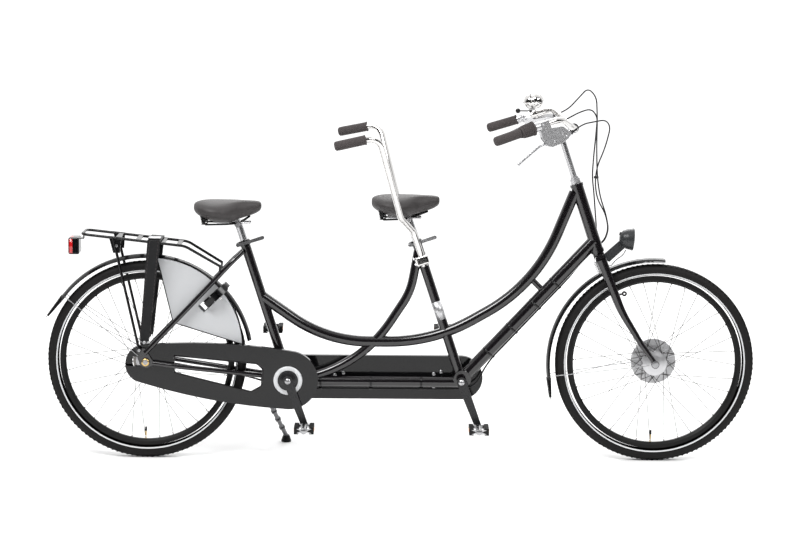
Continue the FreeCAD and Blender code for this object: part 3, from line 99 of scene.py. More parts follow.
def make_camera():
    """The photo's long lens, from the right and a little above."""
    forward = Vector((math.sin(CAMERA_YAW) * math.cos(CAMERA_PITCH),
                      math.cos(CAMERA_YAW) * math.cos(CAMERA_PITCH), -math.sin(CAMERA_PITCH)))
    level = Vector((math.cos(CAMERA_YAW), -math.sin(CAMERA_YAW), 0))
    upright = level.cross(forward)
    right = level * math.cos(CAMERA_ROLL) + upright * math.sin(CAMERA_ROLL)
    up = upright * math.cos(CAMERA_ROLL) - level * math.sin(CAMERA_ROLL)
    camera = bpy.data.objects.new("camera", bpy.data.cameras.new("camera"))
    camera.data.lens = LENS
    camera.data.sensor_width = 36
    camera.data.clip_end = 100
    turn = Matrix((right, up, -forward)).transposed().to_4x4()
    contact = TO_FRAME @ Vector((0, 0, 0))
    camera.matrix_world = Matrix.Translation(contact + PHOTO_CAMERA * MM) @ turn
    bpy.context.scene.collection.objects.link(camera)
    bpy.context.scene.camera = camera


def area_light(name, place, target, size, power, colour=(1, 1, 1)):
    light = bpy.data.lights.new(name, "AREA")
    light.shape = "RECTANGLE"
    light.size = size[0]
    light.size_y = size[1]
    light.energy = power
    light.color = colour
    lamp = bpy.data.objects.new(name, light)
    lamp.location = place
    lamp.rotation_euler = (Vector(target) - Vector(place)).to_track_quat("-Z", "Y").to_euler()
    bpy.context.scene.collection.objects.link(lamp)


def make_surround():
    """White above and behind, dark on the near side, so that black enamel stays black."""
    world = bpy.data.worlds.new("studio")
    world.use_nodes = True
    tree = world.node_tree
    background = tree.nodes["Background"]
    coordinates = tree.nodes.new("ShaderNodeTexCoord")
    towards = tree.nodes.new("ShaderNodeVectorMath")
    towards.operation = "DOT_PRODUCT"
    towards.inputs[1].default_value = (0.0, 0.78, 0.62)
    spread = tree.nodes.new("ShaderNodeMapRange")
    spread.interpolation_type = "SMOOTHSTEP"
    spread.inputs["From Min"].default_value = -0.1
    spread.inputs["From Max"].default_value = 0.5
    spread.inputs["To Min"].default_value = 0.03
    spread.inputs["To Max"].default_value = 1.2
    tree.links.new(coordinates.outputs["Generated"], towards.inputs[0])
    tree.links.new(towards.outputs["Value"], spread.inputs["Value"])
    tree.links.new(spread.outputs["Result"], background.inputs["Strength"])
    background.inputs["Color"].default_value = (1, 1, 1, 1)
    bpy.context.scene.world = world
    bpy.context.scene.view_settings.view_transform = "Standard"


FLOOR_REACH = 4.6
FLOOR_DROP = 0.0006             # keeps the floor just clear of the tyres


def make_studio():
    """A white room: a pale floor, a bright surround and three large soft lamps."""
    floor = bpy.data.meshes.new("floor")
    corners = [(-1, -1), (1, -1), (1, 1), (-1, 1)]
    floor.from_pydata([(FLOOR_REACH * x, FLOOR_REACH * y, 0) for x, y in corners], [], [(0, 1, 2, 3)])
    ground = bpy.data.objects.new("floor", floor)
    ground.location.z = -FLOOR_DROP
    floor.materials.append(surface("studio_floor", (0.93, 0.93, 0.93), 0.9, fine=3.0, mottle=0.02))
    bpy.context.scene.collection.objects.link(ground)
    make_surround()
    area_light("key", (-2.2, -3.0, 5.0), (0, 0, 0.5), (3.4, 1.6), 270)
    area_light("fill", (3.4, -3.4, 4.2), (0.2, 0, 0.5), (2.4, 1.4), 130)
    area_light("rim", (0.5, 3.8, 3.8), (0, 0, 0.6), (4.0, 1.4), 110)


# ---------------------------------------------------------------- materials
def surface(name, colour, roughness, metallic=0.0, coat=0.0, fine=600.0, mottle=0.12, bump=0.0,
            rough_spread=0.08, pattern=None, pattern_scale=200.0, pattern_axis="Z", sheen=0.0,
            alpha=1.0, transmission=0.0, specular=0.5):
    """A procedural finish: slow mottling of the colour, a finer change of gloss, and a bump."""
    if name in bpy.data.materials:
        return bpy.data.materials[name]
    material = bpy.data.materials.new(name)
    material.use_nodes = True
    tree = material.node_tree
    shader = tree.nodes["Principled BSDF"]
    shader.inputs["Metallic"].default_value = metallic
    shader.inputs["Specular IOR Level"].default_value = specular
    shader.inputs["Coat Weight"].default_value = coat
    shader.inputs["Coat Roughness"].default_value = 0.12
    shader.inputs["Sheen Weight"].default_value = sheen
    shader.inputs["Alpha"].default_value = alpha
    shader.inputs["Transmission Weight"].default_value = transmission
    coordinates = tree.nodes.new("ShaderNodeTexCoord")

    def noise(scale, detail):
        node = tree.nodes.new("ShaderNodeTexNoise")
        node.inputs["Scale"].default_value = scale
        node.inputs["Detail"].default_value = detail
        tree.links.new(coordinates.outputs["Object"], node.inputs["Vector"])
        return node

    slow = noise(fine / 30, 3.0)
    blend = tree.nodes.new("ShaderNodeMix")
    blend.data_type = "RGBA"
    blend.inputs["A"].default_value = (*[c * (1 - mottle) for c in colour], 1)
    blend.inputs["B"].default_value = (*[min(1.0, c * (1 + mottle)) for c in colour], 1)
    tree.links.new(slow.outputs["Fac"], blend.inputs["Factor"])
    tree.links.new(blend.outputs["Result"], shader.inputs["Base Color"])
    grain = noise(fine, 5.0)
    gloss = tree.nodes.new("ShaderNodeMapRange")
    gloss.inputs["To Min"].default_value = max(0.02, roughness - rough_spread)
    gloss.inputs["To Max"].default_value = min(1.0, roughness + rough_spread)
    tree.links.new(grain.outputs["Fac"], gloss.inputs["Value"])
    tree.links.new(gloss.outputs["Result"], shader.inputs["Roughness"])
    height = grain.outputs["Fac"]
    if pattern == "wave":
        wave = tree.nodes.new("ShaderNodeTexWave")
        wave.bands_direction = pattern_axis
        wave.inputs["Scale"].default_value = pattern_scale
        wave.inputs["Distortion"].default_value = 0.2
        tree.links.new(coordinates.outputs["Object"], wave.inputs["Vector"])
        height = wave.outputs["Fac"]
    elif pattern == "cells":
        cells = tree.nodes.new("ShaderNodeTexVoronoi")
        cells.inputs["Scale"].default_value = pattern_scale
        tree.links.new(coordinates.outputs["Object"], cells.inputs["Vector"])
        height = cells.outputs["Distance"]
    if bump:
        relief = tree.nodes.new("ShaderNodeBump")
        relief.inputs["Strength"].default_value = bump
        relief.inputs["Distance"].default_value = 0.0006
        tree.links.new(height, relief.inputs["Height"])
        tree.links.new(relief.outputs["Normal"], shader.inputs["Normal"])
    return material


def enamel():
    return surface("black_enamel", (0.006, 0.005, 0.006), 0.16, coat=0.5, fine=260, bump=0.02)


def satin_black():
    return surface("satin_black", (0.005, 0.005, 0.0055), 0.18, specular=0.3, fine=300, bump=0.03)


def moulded_black():
    return surface("moulded_black", (0.004, 0.004, 0.0045), 0.12, specular=0.35, fine=240, bump=0.02)


def dark_rim():
    return surface("black_rim", (0.006, 0.006, 0.006), 0.4, specular=0.2, fine=400, mottle=0.15, bump=0.03)


def dark_crank():
    return surface("black_crank", (0.012, 0.012, 0.013), 0.28, specular=0.4, fine=500, mottle=0.2,
                   bump=0.06)


def lamp_grey():
    return surface("lamp_grey", (0.03, 0.032, 0.034), 0.32, specular=0.35, fine=600, mottle=0.12, bump=0.06)


def chrome():
    return surface("polished_chrome", (0.66, 0.65, 0.64), 0.12, metallic=1.0, fine=180, mottle=0.05,
                   rough_spread=0.05, bump=0.01)


def alloy():
    return surface("satin_alloy", (0.5, 0.5, 0.51), 0.26, metallic=1.0, fine=420, mottle=0.06, bump=0.04)


def dull_alloy():
    return surface("cast_alloy", (0.55, 0.55, 0.56), 0.4, metallic=1.0, fine=700, mottle=0.12, bump=0.15)


def zinc_steel():
    return surface("zinc_steel", (0.42, 0.42, 0.43), 0.3, metallic=1.0, fine=700, mottle=0.14, bump=0.05)


def dark_steel():
    return surface("dark_steel", (0.16, 0.16, 0.165), 0.34, metallic=1.0, fine=600, mottle=0.2, bump=0.06)


def spoke_steel():
    return surface("spoke_steel", (0.06, 0.058, 0.056), 0.45, metallic=0.6, fine=600, mottle=0.2, bump=0.03)


def oiled_steel():
    return surface("oiled_steel", (0.2, 0.19, 0.18), 0.35, metallic=1.0, fine=800, mottle=0.3, bump=0.1)


def brass():
    return surface("brass", (0.65, 0.45, 0.18), 0.3, metallic=1.0, fine=500, mottle=0.1, bump=0.04)


def tyre_rubber():
    return surface("tyre_rubber", (0.01, 0.0095, 0.0095), 0.6, specular=0.15, fine=1100, mottle=0.2,
                   bump=0.25)


def reflective_band():
    return surface("reflective_band", (0.62, 0.63, 0.64), 0.4, fine=900, mottle=0.08, bump=0.05)


def grip_rubber():
    return surface("grip_rubber", (0.014, 0.011, 0.011), 0.45, specular=0.25, fine=900, mottle=0.15,
                   bump=0.1)


def soft_rubber():
    return surface("soft_rubber", (0.012, 0.012, 0.012), 0.55, specular=0.2, fine=900, mottle=0.15,
                   bump=0.15)


def cable_skin():
    return surface("cable_skin", (0.01, 0.01, 0.011), 0.4, specular=0.25, fine=700, mottle=0.1, bump=0.04)


def saddle_cover():
    return surface("saddle_cover", (0.011, 0.009, 0.0085), 0.36, specular=0.3, fine=500, mottle=0.2,
                   bump=0.12, pattern="cells", pattern_scale=620.0)


def webbing():
    return surface("webbing", (0.01, 0.01, 0.011), 0.7, specular=0.15, fine=900, mottle=0.2, bump=0.8,
                   pattern="wave", pattern_scale=260.0, pattern_axis="X", sheen=0.2)


def red_lens():
    return surface("red_lens", (0.5, 0.01, 0.012), 0.15, fine=400, mottle=0.15, bump=0.5, coat=0.5,
                   pattern="cells", pattern_scale=320.0)


def amber_lens():
    return surface("amber_lens", (0.75, 0.25, 0.02), 0.18, fine=400, mottle=0.12, bump=0.4, coat=0.5,
                   pattern="cells", pattern_scale=420.0)


def clear_lens():
    return surface("clear_lens", (0.92, 0.94, 0.95), 0.06, fine=200, mottle=0.02, bump=0.25,
                   pattern="wave", pattern_scale=90.0, pattern_axis="Y", transmission=0.85)


def spring_steel():
    return surface("spring_steel", (0.42, 0.42, 0.43), 0.25, metallic=1.0, fine=500, mottle=0.12, bump=0.04)


NODE_FINISHES = {
    enamel: ["head_tube", "down_tube", "main_tube", "rear_swan_tube", "captain_seat_tube",
             "stoker_seat_tube", "boom_tube", "bottom_brackets", "rear_triangle", "fork"],
    moulded_black: ["chain_case", "timing_case", "tail_light"],
    satin_black: ["rear_mudguard", "front_mudguard", "rear_rack", "coat_guards", "ring_lock",
                  "bell_lever"],
    webbing: ["rack_straps"],
    dark_rim: ["front_rim", "rear_rim"],
    dark_crank: ["stoker_cranks", "captain_cranks"],
    lamp_grey: ["headlight"],
    chrome: ["stoker_handlebar", "captain_handlebar", "bell"],
    alloy: ["stem", "captain_quick_lever", "brake_lever_right",
            "brake_lever_left", "stoker_seatpost", "captain_seatpost"],
    dark_steel: ["kickstand_leg", "stoker_quick_lever"],
    dull_alloy: ["front_hub", "rear_hub", "brake_housings"],
    spoke_steel: ["front_spokes", "rear_spokes"],
    zinc_steel: ["front_axle", "rear_axle", "rear_sprocket",
                 "lock_shackle"],
    oiled_steel: ["drive_chain", "timing_chain"],
    tyre_rubber: ["front_tyre", "rear_tyre"],
    grip_rubber: ["captain_grips", "stoker_grips", "twist_shifter"],
    soft_rubber: ["stoker_pedal_right", "stoker_pedal_left", "captain_pedal_right",
                  "captain_pedal_left"],
    cable_skin: ["control_cables", "frame_cables"],
    saddle_cover: ["captain_saddle", "stoker_saddle"],
}


def paint_nodes():
    """Gives every CAD node its finish."""
    for finish, names in NODE_FINISHES.items():
        for name in names:
            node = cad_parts[name]
            node.data.materials.clear()
            node.data.materials.append(finish())


# ---------------------------------------------------------------- mesh helpers
def add(name, vertices, faces, finish, body, smooth=True):
    """A new piece from upright millimetres, placed in the frame and riding on a body."""
    mesh = bpy.data.meshes.new(name)
    mesh.from_pydata([tuple(v) for v in vertices], [], faces)
    mesh.transform(TO_FRAME)
    mesh.update()
    for polygon in mesh.polygons:
        polygon.use_smooth = smooth
    mesh.materials.append(finish())
    piece = bpy.data.objects.new(name, mesh)
    bpy.context.scene.collection.objects.link(piece)
    if body:
        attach(piece, body)
    return piece


def join(parts):
    """Several (vertices, faces) lists as one."""
    vertices = []
    faces = []
    for part_vertices, part_faces in parts:
        start = len(vertices)
        vertices.extend(part_vertices)
        faces.extend([tuple(start + i for i in face) for face in part_faces])
    return vertices, faces


def sideways(along):
    """Two directions across a line."""
    along = Vector(along).normalized()
    helper = Vector((0, 0, 1)) if abs(along.z) < 0.9 else Vector((1, 0, 0))
    first = along.cross(helper).normalized()
    return first, along.cross(first).normalized()


def tube(points, radius, sides=12, closed=False):
    """A round rod along a line of points. The radius may be one value or one per point."""
    points = [Vector(p) for p in points]
    count = len(points)
    radii = radius if isinstance(radius, list) else [radius] * count
    vertices = []
    across, _ = sideways(points[1] - points[0])
    for index, point in enumerate(points):
        if closed:
            along = points[(index + 1) % count] - points[index - 1]
        else:
            along = points[min(index + 1, count - 1)] - points[max(index - 1, 0)]
        along.normalize()
        across = (across - along * across.dot(along)).normalized()
        other = along.cross(across)
        for side in range(sides):
            angle = 2 * math.pi * side / sides
            offset = across * math.cos(angle) + other * math.sin(angle)
            vertices.append(point + offset * radii[index])
    faces = []
    for index in range(count if closed else count - 1):
        first = index * sides
        last = ((index + 1) % count) * sides
        for side in range(sides):
            step = (side + 1) % sides
            faces.append((first + side, first + step, last + step, last + side))
    if not closed:
        faces.append(tuple(reversed(range(sides))))
        faces.append(tuple(range((count - 1) * sides, count * sides)))
    return vertices, faces


def turned(profile, base, axis, segments=48, closed=False):
    """A turned shape from (along, radius) points, open or as a closed ring."""
    axis = Vector(axis).normalized()
    first, second = sideways(axis)
    vertices = []
    for segment in range(segments):
        angle = 2 * math.pi * segment / segments
        spoke = first * math.cos(angle) + second * math.sin(angle)
        for along, radius in profile:
            vertices.append(Vector(base) + axis * along + spoke * radius)
    faces = []
    size = len(profile)
    for segment in range(segments):
        start = segment * size
        following = ((segment + 1) % segments) * size
        for index in range(size if closed else size - 1):
            step = (index + 1) % size
            faces.append((start + index, following + index, following + step, start + step))
    return vertices, faces


def block(centre, size, along=(1, 0, 0), up=(0, 0, 1), chamfer=0.0):
    """A box about a centre, its length along one direction, with cut corners if asked."""
    along = Vector(along).normalized()
    side = Vector(up).cross(along).normalized()
    top = along.cross(side).normalized()
    half = [s / 2 for s in size]
    c = min(chamfer, *half) if chamfer else 0.0
    outline = [(-half[0] + c, -half[1]), (half[0] - c, -half[1]), (half[0], -half[1] + c),
               (half[0], half[1] - c), (half[0] - c, half[1]), (-half[0] + c, half[1]),
               (-half[0], half[1] - c), (-half[0], -half[1] + c)]
    levels = [(-half[2], 1 - c / max(half[0], 1e-6)), (-half[2] + c, 1), (half[2] - c, 1),
              (half[2], 1 - c / max(half[0], 1e-6))]
    vertices = []
    for height, share in levels:
        for x, y in outline:
            vertices.append(Vector(centre) + along * (x * share) + side * (y * share) + top * height)
    faces = [tuple(reversed(range(8)))]
    for level in range(3):
        for index in range(8):
            step = (index + 1) % 8
            faces.append((level * 8 + index, level * 8 + step, level * 8 + 8 + step,
                          level * 8 + 8 + index))
    faces.append(tuple(range(24, 32)))
    return vertices, faces


def helix(start, end, radius, turns, per_turn=14):
    """The centre line of a coil spring."""
    start = Vector(start)
    axis = Vector(end) - start
    first, second = sideways(axis)
    points = []
    total = int(turns * per_turn)
    for k in range(total + 1):
        angle = 2 * math.pi * k / per_turn
        points.append(start + axis * (k / total) + first * (radius * math.cos(angle))
                      + second * (radius * math.sin(angle)))
    return points


def hexagon_bolt(base, axis, radius, height):
    return turned([(0, 0), (0, radius), (height * 0.8, radius), (height, radius * 0.8), (height, 0)],
                  base, axis, segments=6)


def bent_line(points, share=0.45, steps=8):
    """Straight runs joined by tangent arcs: each arc takes the same share of the shorter run."""
    points = [Vector(p) for p in points]
    line = [points[0]]
    for index in range(1, len(points) - 1):
        corner = points[index]
        back = points[index - 1] - corner
        ahead = points[index + 1] - corner
        reach = share * min(back.length, ahead.length)
        back.normalize()
        ahead.normalize()
        half_turn = (math.pi - back.angle(ahead)) / 2
        radius = reach / math.tan(half_turn)
        centre = corner + (back + ahead).normalized() * (radius / math.cos(half_turn))
        start = corner + back * reach - centre
        end = corner + ahead * reach - centre
        for step in range(steps + 1):
            share_of_turn = step / steps
            swing = (start * math.sin((1 - share_of_turn) * 2 * half_turn)
                     + end * math.sin(share_of_turn * 2 * half_turn)) / math.sin(2 * half_turn)
            line.append(centre + swing)
    line.append(points[-1])
    return line


def paint_part(node, finish, belongs):
    """A second finish for the faces of a CAD node whose upright centre passes a test."""
    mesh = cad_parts[node].data
    mesh.materials.append(finish())
    index = len(mesh.materials) - 1
    to_upright = TO_FRAME.inverted()
    for polygon in mesh.polygons:
        if belongs(to_upright @ polygon.center):
            polygon.material_index = index


# ---------------------------------------------------------------- wheels
STRIPE = (319.0, 323.5)
SPOKES = 36
TREAD_BLOCKS = 120
BRAKE_FINS = 40
SPOKE_PHASE = 3.5
RIM_INNER = 290.0
TYRE_CENTRE_LINE = 331.5
TYRE_SECTION = 23.5
VALVE_ANGLE = -91.5


def tyre_profile():
    """A tyre's section from bead to bead, with grooves round its tread."""
    profile = []
    for degrees in range(-128, 129, 4):
        angle = math.radians(degrees)
        groove = 1.2 if abs(degrees) in (8, 28, 44) else 0.0
        radius = TYRE_SECTION - 0.15 - groove
        profile.append((radius * math.sin(angle), TYRE_CENTRE_LINE + radius * math.cos(angle)))
    return profile


def make_tyre(name, axle, body):
    vertices, faces = turned(tyre_profile(), axle, ACROSS, segments=160)
    tyre = add(name + "_tyre_skin", vertices, faces, tyre_rubber, body)
    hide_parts(name + "_tyre")
    lugs = []
    for index in range(TREAD_BLOCKS):
        direction = 360.0 * index / TREAD_BLOCKS
        for side, reach in ((-1, 4.0), (1, 5.5)):
            point = polar(axle, TYRE_RADIUS - 2.1, direction + (1.5 if side > 0 else 0), side * 12.5)
            outward = polar(Vector(), 1.0, direction)
            lugs.append(block(point, (reach * 2.1, 7.0, 1.6), along=ACROSS * side, up=outward,
                              chamfer=0.5))
    vertices, faces = join(lugs)
    add(name + "_tread_blocks", vertices, faces, tyre_rubber, body, smooth=False)
    bands = []
    for side in (-1, 1):
        points = []
        for radius in (STRIPE[0], (STRIPE[0] + STRIPE[1]) / 2, STRIPE[1]):
            rise = math.sqrt(TYRE_SECTION ** 2 - (radius - TYRE_CENTRE_LINE) ** 2)
            points.append((side * (rise + 0.25), radius))
        bands.append(turned(points, axle, ACROSS, segments=160))
    vertices, faces = join(bands)
    add(name + "_reflective_bands", vertices, faces, reflective_band, body)


def make_nipples(name, axle, body):
    parts = []
    for index in range(SPOKES):
        angle = SPOKE_PHASE - 5.0 + index * 360.0 / SPOKES
        side = 1 if index % 2 == 0 else -1
        outer = polar(axle, RIM_INNER + 2, angle, 2.0 * side)
        inner = polar(axle, RIM_INNER - 11, angle, 2.6 * side)
        parts.append(tube([outer, outer.lerp(inner, 0.5), inner], [2.6, 2.2, 1.7], sides=8))
    vertices, faces = join(parts)
    add(name + "_nipples", vertices, faces, chrome, body)


def make_valve(name, axle, body):
    outward = polar(Vector(), 1.0, VALVE_ANGLE)
    stem = [(-292, 0), (-292, 4.2), (-287, 4.2), (-287, 3.0), (-262, 3.0), (-262, 0)]
    profile = [(-along, radius) for along, radius in stem]
    vertices, faces = turned(profile, axle, outward, segments=20)
    add(name + "_valve", vertices, faces, brass, body)
    cap = [(262, 0), (262, 4.0), (248, 3.6), (246, 0)]
    vertices, faces = turned(cap, axle, outward, segments=20)
    add(name + "_valve_cap", vertices, faces, soft_rubber, body)


def make_front_hub_details():
    """The cooling fins and the small bolts on the front hub brake's disc."""
    parts = []
    for index in range(BRAKE_FINS):
        angle = 360.0 * index / BRAKE_FINS
        outward = polar(Vector(), 1.0, angle)
        centre = polar(FRONT_AXLE, 61, angle, 23.4)
        parts.append(block(centre, (35, 2.0, 4.0), along=outward, up=ACROSS, chamfer=0.4))
    for index in range(12):
        hole = polar(FRONT_AXLE, 72, 30.0 * index + 15, 36.4)
        parts.append(hexagon_bolt(hole, ACROSS, 4.0, 2.0))
    vertices, faces = join(parts)
    add("front_brake_fins", vertices, faces, dull_alloy, "front_wheel", smooth=False)


def make_wheels():
    for name, axle in (("front", FRONT_AXLE), ("rear", REAR_AXLE)):
        body = name + "_wheel"
        make_tyre(name, axle, body)
        make_nipples(name, axle, body)
        make_valve(name, axle, body)
    make_front_hub_details()


# ---------------------------------------------------------------- saddles
def cushion(node, body):
    """A padded saddle cover, blown up a little by a cloth simulation of the CAD shape."""
    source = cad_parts[node]
    piece = bpy.data.objects.new(node + "_cover", source.data.copy())
    bpy.context.scene.collection.objects.link(piece)
    bpy.context.view_layer.objects.active = piece
    remesh = piece.modifiers.new("remesh", "REMESH")
    remesh.mode = "VOXEL"
    remesh.voxel_size = 0.005
    apply_modifiers(piece)
    low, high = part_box(node)
    cloth = piece.modifiers.new("cloth", "CLOTH")
    cloth.settings.quality = 4
    cloth.settings.tension_stiffness = 60
    cloth.settings.compression_stiffness = 60
    cloth.settings.bending_stiffness = 12
    cloth.settings.use_pressure = True
    cloth.settings.uniform_pressure_force = 4
    cloth.settings.effector_weights.gravity = 0
    before = [v.co.copy() for v in piece.data.vertices]
    for step in range(1, 21):
        bpy.context.scene.frame_set(step)
    apply_modifiers(piece)
    for vertex, start in zip(piece.data.vertices, before):
        move = vertex.co - start
        if move.length > 0.006:
            move.length = 0.006
        vertex.co = start + move
    bpy.context.scene.frame_set(1)
    sculpt_saddle(piece, low, high)
    piece.data.materials.clear()
    piece.data.materials.append(saddle_cover())
    smooth = piece.modifiers.new("smooth", "SMOOTH")
    smooth.iterations = 8
    smooth.factor = 0.5
    subdivide = piece.modifiers.new("subdivide", "SUBSURF")
    subdivide.levels = 1
    subdivide.render_levels = 1
    apply_modifiers(piece)
    for polygon in piece.data.polygons:
        polygon.use_smooth = True
    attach(piece, body)
    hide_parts(node)
    return piece


def apply_modifiers(piece):
    """Bakes a piece's modifiers into its mesh."""
    bpy.context.view_layer.update()
    graph = bpy.context.evaluated_depsgraph_get()
    mesh = bpy.data.meshes.new_from_object(piece.evaluated_get(graph))
    piece.modifiers.clear()
    piece.data = mesh


def sculpt_saddle(piece, low, high):
    """Sinks a soft valley along the middle of the cover's top."""
    length = high.x - low.x
    middle = (low.y + high.y) / 2
    for vertex in piece.data.vertices:
        share = (vertex.co.x - low.x) / length
        across = (vertex.co.y - middle) / 0.02
        top = (vertex.co.z - low.z) / (high.z - low.z)
        if top > 0.55:
            depth = 0.003 * math.exp(-across * across) * math.sin(math.pi * min(1, max(0, share)))
            vertex.co.z -= depth


def make_saddle_undercarriage(rider, body, seat_angle, clamp_height, bracket, nose_x, tail_x):
    """The base plate, rear coil springs, rails and clamp bolt below a saddle."""
    lean = math.radians(seat_angle)
    clamp_x = bracket.x - (clamp_height - bracket.z) * math.tan(lean)
    parts = []
    for side in (-1, 1):
        foot = Vector((tail_x + 42, side * 48, clamp_height + 2))
        head = Vector((tail_x + 36, side * 52, clamp_height + 32))
        parts.append(tube(helix(foot, head, 11, 5.5), 1.9, sides=8))
        parts.append(turned([(0, 0), (0, 14), (2, 14), (2, 0)], foot - Vector((0, 0, 2)), (0, 0, 1), 24))
        rail = [Vector((tail_x + 42, side * 48, clamp_height - 1)),
                Vector((clamp_x - 30, side * 30, clamp_height - 1)),
                Vector((clamp_x + 10, side * 19, clamp_height + 4)),
                Vector((nose_x - 42, side * 8, clamp_height + 26))]
        parts.append(tube(bent_line(rail), 3.4, sides=10))
    vertices, faces = join(parts)
    add(rider + "_saddle_springs", vertices, faces, satin_black, body)
    bolts = []
    for side in (-1, 1):
        bolts.append(hexagon_bolt((clamp_x, side * 24, clamp_height), (0, side, 0), 8, 6))
        washer = [(0, 0), (0, 11), (2, 11), (2, 0)]
        bolts.append(turned(washer, (clamp_x, side * 23, clamp_height), (0, side, 0), 28))
    vertices, faces = join(bolts)
    add(rider + "_saddle_clamp_nuts", vertices, faces, zinc_steel, body, smooth=False)


def make_saddles():
    cushion("captain_saddle", "captain_seat")
    cushion("stoker_saddle", "stoker_seat")
    make_saddle_undercarriage("stoker", "stoker_seat", STOKER_SEAT_ANGLE, 846, STOKER_BB, 409, 169)
    make_saddle_undercarriage("captain", "captain_seat", CAPTAIN_SEAT_ANGLE, 868, CAPTAIN_BB, 1041, 799)


# ---------------------------------------------------------------- cables
HEAD_ANGLE = math.radians(18.4)
BAR_ALONG = Vector((226, 75, 75)).normalized()
BAR_SIDE = BAR_ALONG.cross(Vector((0, 0, 1))).normalized()
BAR_UP = BAR_SIDE.cross(BAR_ALONG)
GRIP_END = Vector((1224, -310, 1168))
LEFT_ALONG = Vector((BAR_ALONG.x, -BAR_ALONG.y, BAR_ALONG.z))
RIGHT_LEVER_START = 150.0
LEFT_LEVER_START = 116.0
LEFT_LEVER_TURN = math.radians(65.0)
DOWN_TUBE_LOW = Vector((1123, 0, 287))
DOWN_TUBE_HIGH = Vector((1593, 0, 792))
CABLE_RADIUS = 2.5
CABLE_BREAK = 484.0


def bar_point(distance, side=-1):
    point = GRIP_END + BAR_ALONG * distance
    return point if side < 0 else Vector((point.x, -point.y, point.z))


def lever_spot(side, along, above, out=0.0):
    """A point beside a brake lever's housing, along and above the bar from the housing's start."""
    if side < 0:
        origin = bar_point(RIGHT_LEVER_START)
        return origin + BAR_ALONG * along + BAR_UP * above + BAR_SIDE * out
    turn = Matrix.Rotation(LEFT_LEVER_TURN, 3, LEFT_ALONG)
    up = turn @ Vector((BAR_UP.x, -BAR_UP.y, BAR_UP.z))
    outward = turn @ Vector((BAR_SIDE.x, -BAR_SIDE.y, BAR_SIDE.z))
    return bar_point(LEFT_LEVER_START, 1) + LEFT_ALONG * along + up * above + outward * out


def under_down_tube(distance, side):
    along = (DOWN_TUBE_HIGH - DOWN_TUBE_LOW).normalized()
    below = Vector((along.z, 0, -along.x))
    return DOWN_TUBE_LOW + along * distance + below * 26.5 + Vector((0, side, 0))


def cable(name, points, body, blend_to=None):
    """One cable along its route."""
    line = bent_line(points, steps=10)
    vertices, faces = tube(line, CABLE_RADIUS, sides=12)
    piece = add(name, vertices, faces, cable_skin, None if blend_to else body)
    if blend_to:
        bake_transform(piece)
    return piece


def make_cables():
    lower = [Vector((1632, 7, 884)), Vector((1642, 14, 832)), Vector((1630, 31, 790)),
             Vector((1598, 34, 765)), Vector((1560, 30, 725))]
    gear = cable("gear_cable", [
        lever_spot(-1, 130, -55.5), lever_spot(-1, 176, -44), (1612, -142, 1234), (1634, -96, 1205),
        (1620, -56, 1130), (1596, -20, 1060), (1590, -7, 1005), (1598, -4, 945), *lower,
        under_down_tube(CABLE_BREAK + 50, 8), under_down_tube(CABLE_BREAK, 3)], "fork", "frame")
    offset = Vector((2, 8, -3))
    cable("rear_brake_cable", [
        lever_spot(1, 130, -55.5), lever_spot(1, 186, -34), (1572, 152, 1326), (1600, 112, 1296),
        (1601, 70, 1220), (1597, 34, 1140), (1597, 10, 1068), (1600, 4, 1010), (1610, 5, 950),
        *[point + offset for point in lower], under_down_tube(CABLE_BREAK + 50, 15),
        under_down_tube(CABLE_BREAK, 10)], "fork", "frame")
    cable("front_brake_cable", [
        (1480, -100, 1232), (1524, -96, 1256), (1566, -84, 1268), (1590, -62, 1238),
        (1588, -34, 1170), (1583, -16, 1095), (1581, 8, 1020), (1590, 30, 960), (1600, 36, 850),
        (1608, 58, 780), (1622, 66, 720), (1690, 68, 545), (1752, 68, 440), (1768, 66, 402)], "fork")
    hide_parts("control_cables")
    for name, first, middle in (("rear_brake_run", 3, -4), ("gear_run", 10, 4)):
        cable(name, [
            under_down_tube(CABLE_BREAK - 0.6, first), under_down_tube(110, first),
            (1172, middle, 260), (1090, middle, 252), (500, middle, 252), (440, middle + 8, 268),
            (404, middle + 10, 279), (366, middle + 24, 287), (325, middle + 35, 294),
            (120, middle + 61, 324),
            (66, middle + 63, 333)], "frame")
    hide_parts("frame_cables")
    make_cable_fittings()


def make_cable_fittings():
    """Clips, ties and barrel adjusters that hold the cables."""
    clips = []
    for distance in (CABLE_BREAK, 380, 260, 140):
        centre = (under_down_tube(distance, 3) + under_down_tube(distance, 10)) / 2
        along = (DOWN_TUBE_HIGH - DOWN_TUBE_LOW).normalized()
        clips.append(block(centre, (11, 20, 8), along=along, up=(along.z, 0, -along.x), chamfer=2))
        axis_point = DOWN_TUBE_LOW + along * distance
        clips.append(turned([(-4, 23.0), (-4, 24.2), (4, 24.2), (4, 23.0)], axis_point, along, 40))
    for x in (980, 800, 620):
        clips.append(block((x, 0, 253), (12, 18, 8), chamfer=2))
        clips.append(turned([(-4, 20.0), (-4, 21.2), (4, 21.2), (4, 20.0)], (x, 0, 278), (1, 0, 0), 40))
    vertices, faces = join(clips)
    add("cable_clips", vertices, faces, moulded_black, "frame")
    adjusters = []
    for side in (-1, 1):
        start = lever_spot(side, 118, -57.5)
        end = lever_spot(side, 146, -54)
        adjusters.append(tube([start, start.lerp(end, 0.45), start.lerp(end, 0.5), end],
                              [5.6, 5.6, 4.4, 3.8], sides=16))
    vertices, faces = join(adjusters)
    add("cable_adjusters", vertices, faces, moulded_black, "fork")
    vertices, faces = turned([(-4, 4.5), (-4, 8.5), (4, 8.5), (4, 4.5)], (1595, 2, 1018),
                             (0.1, 0.2, 1), 24, closed=True)
    add("cable_tie", vertices, faces, moulded_black, "fork")


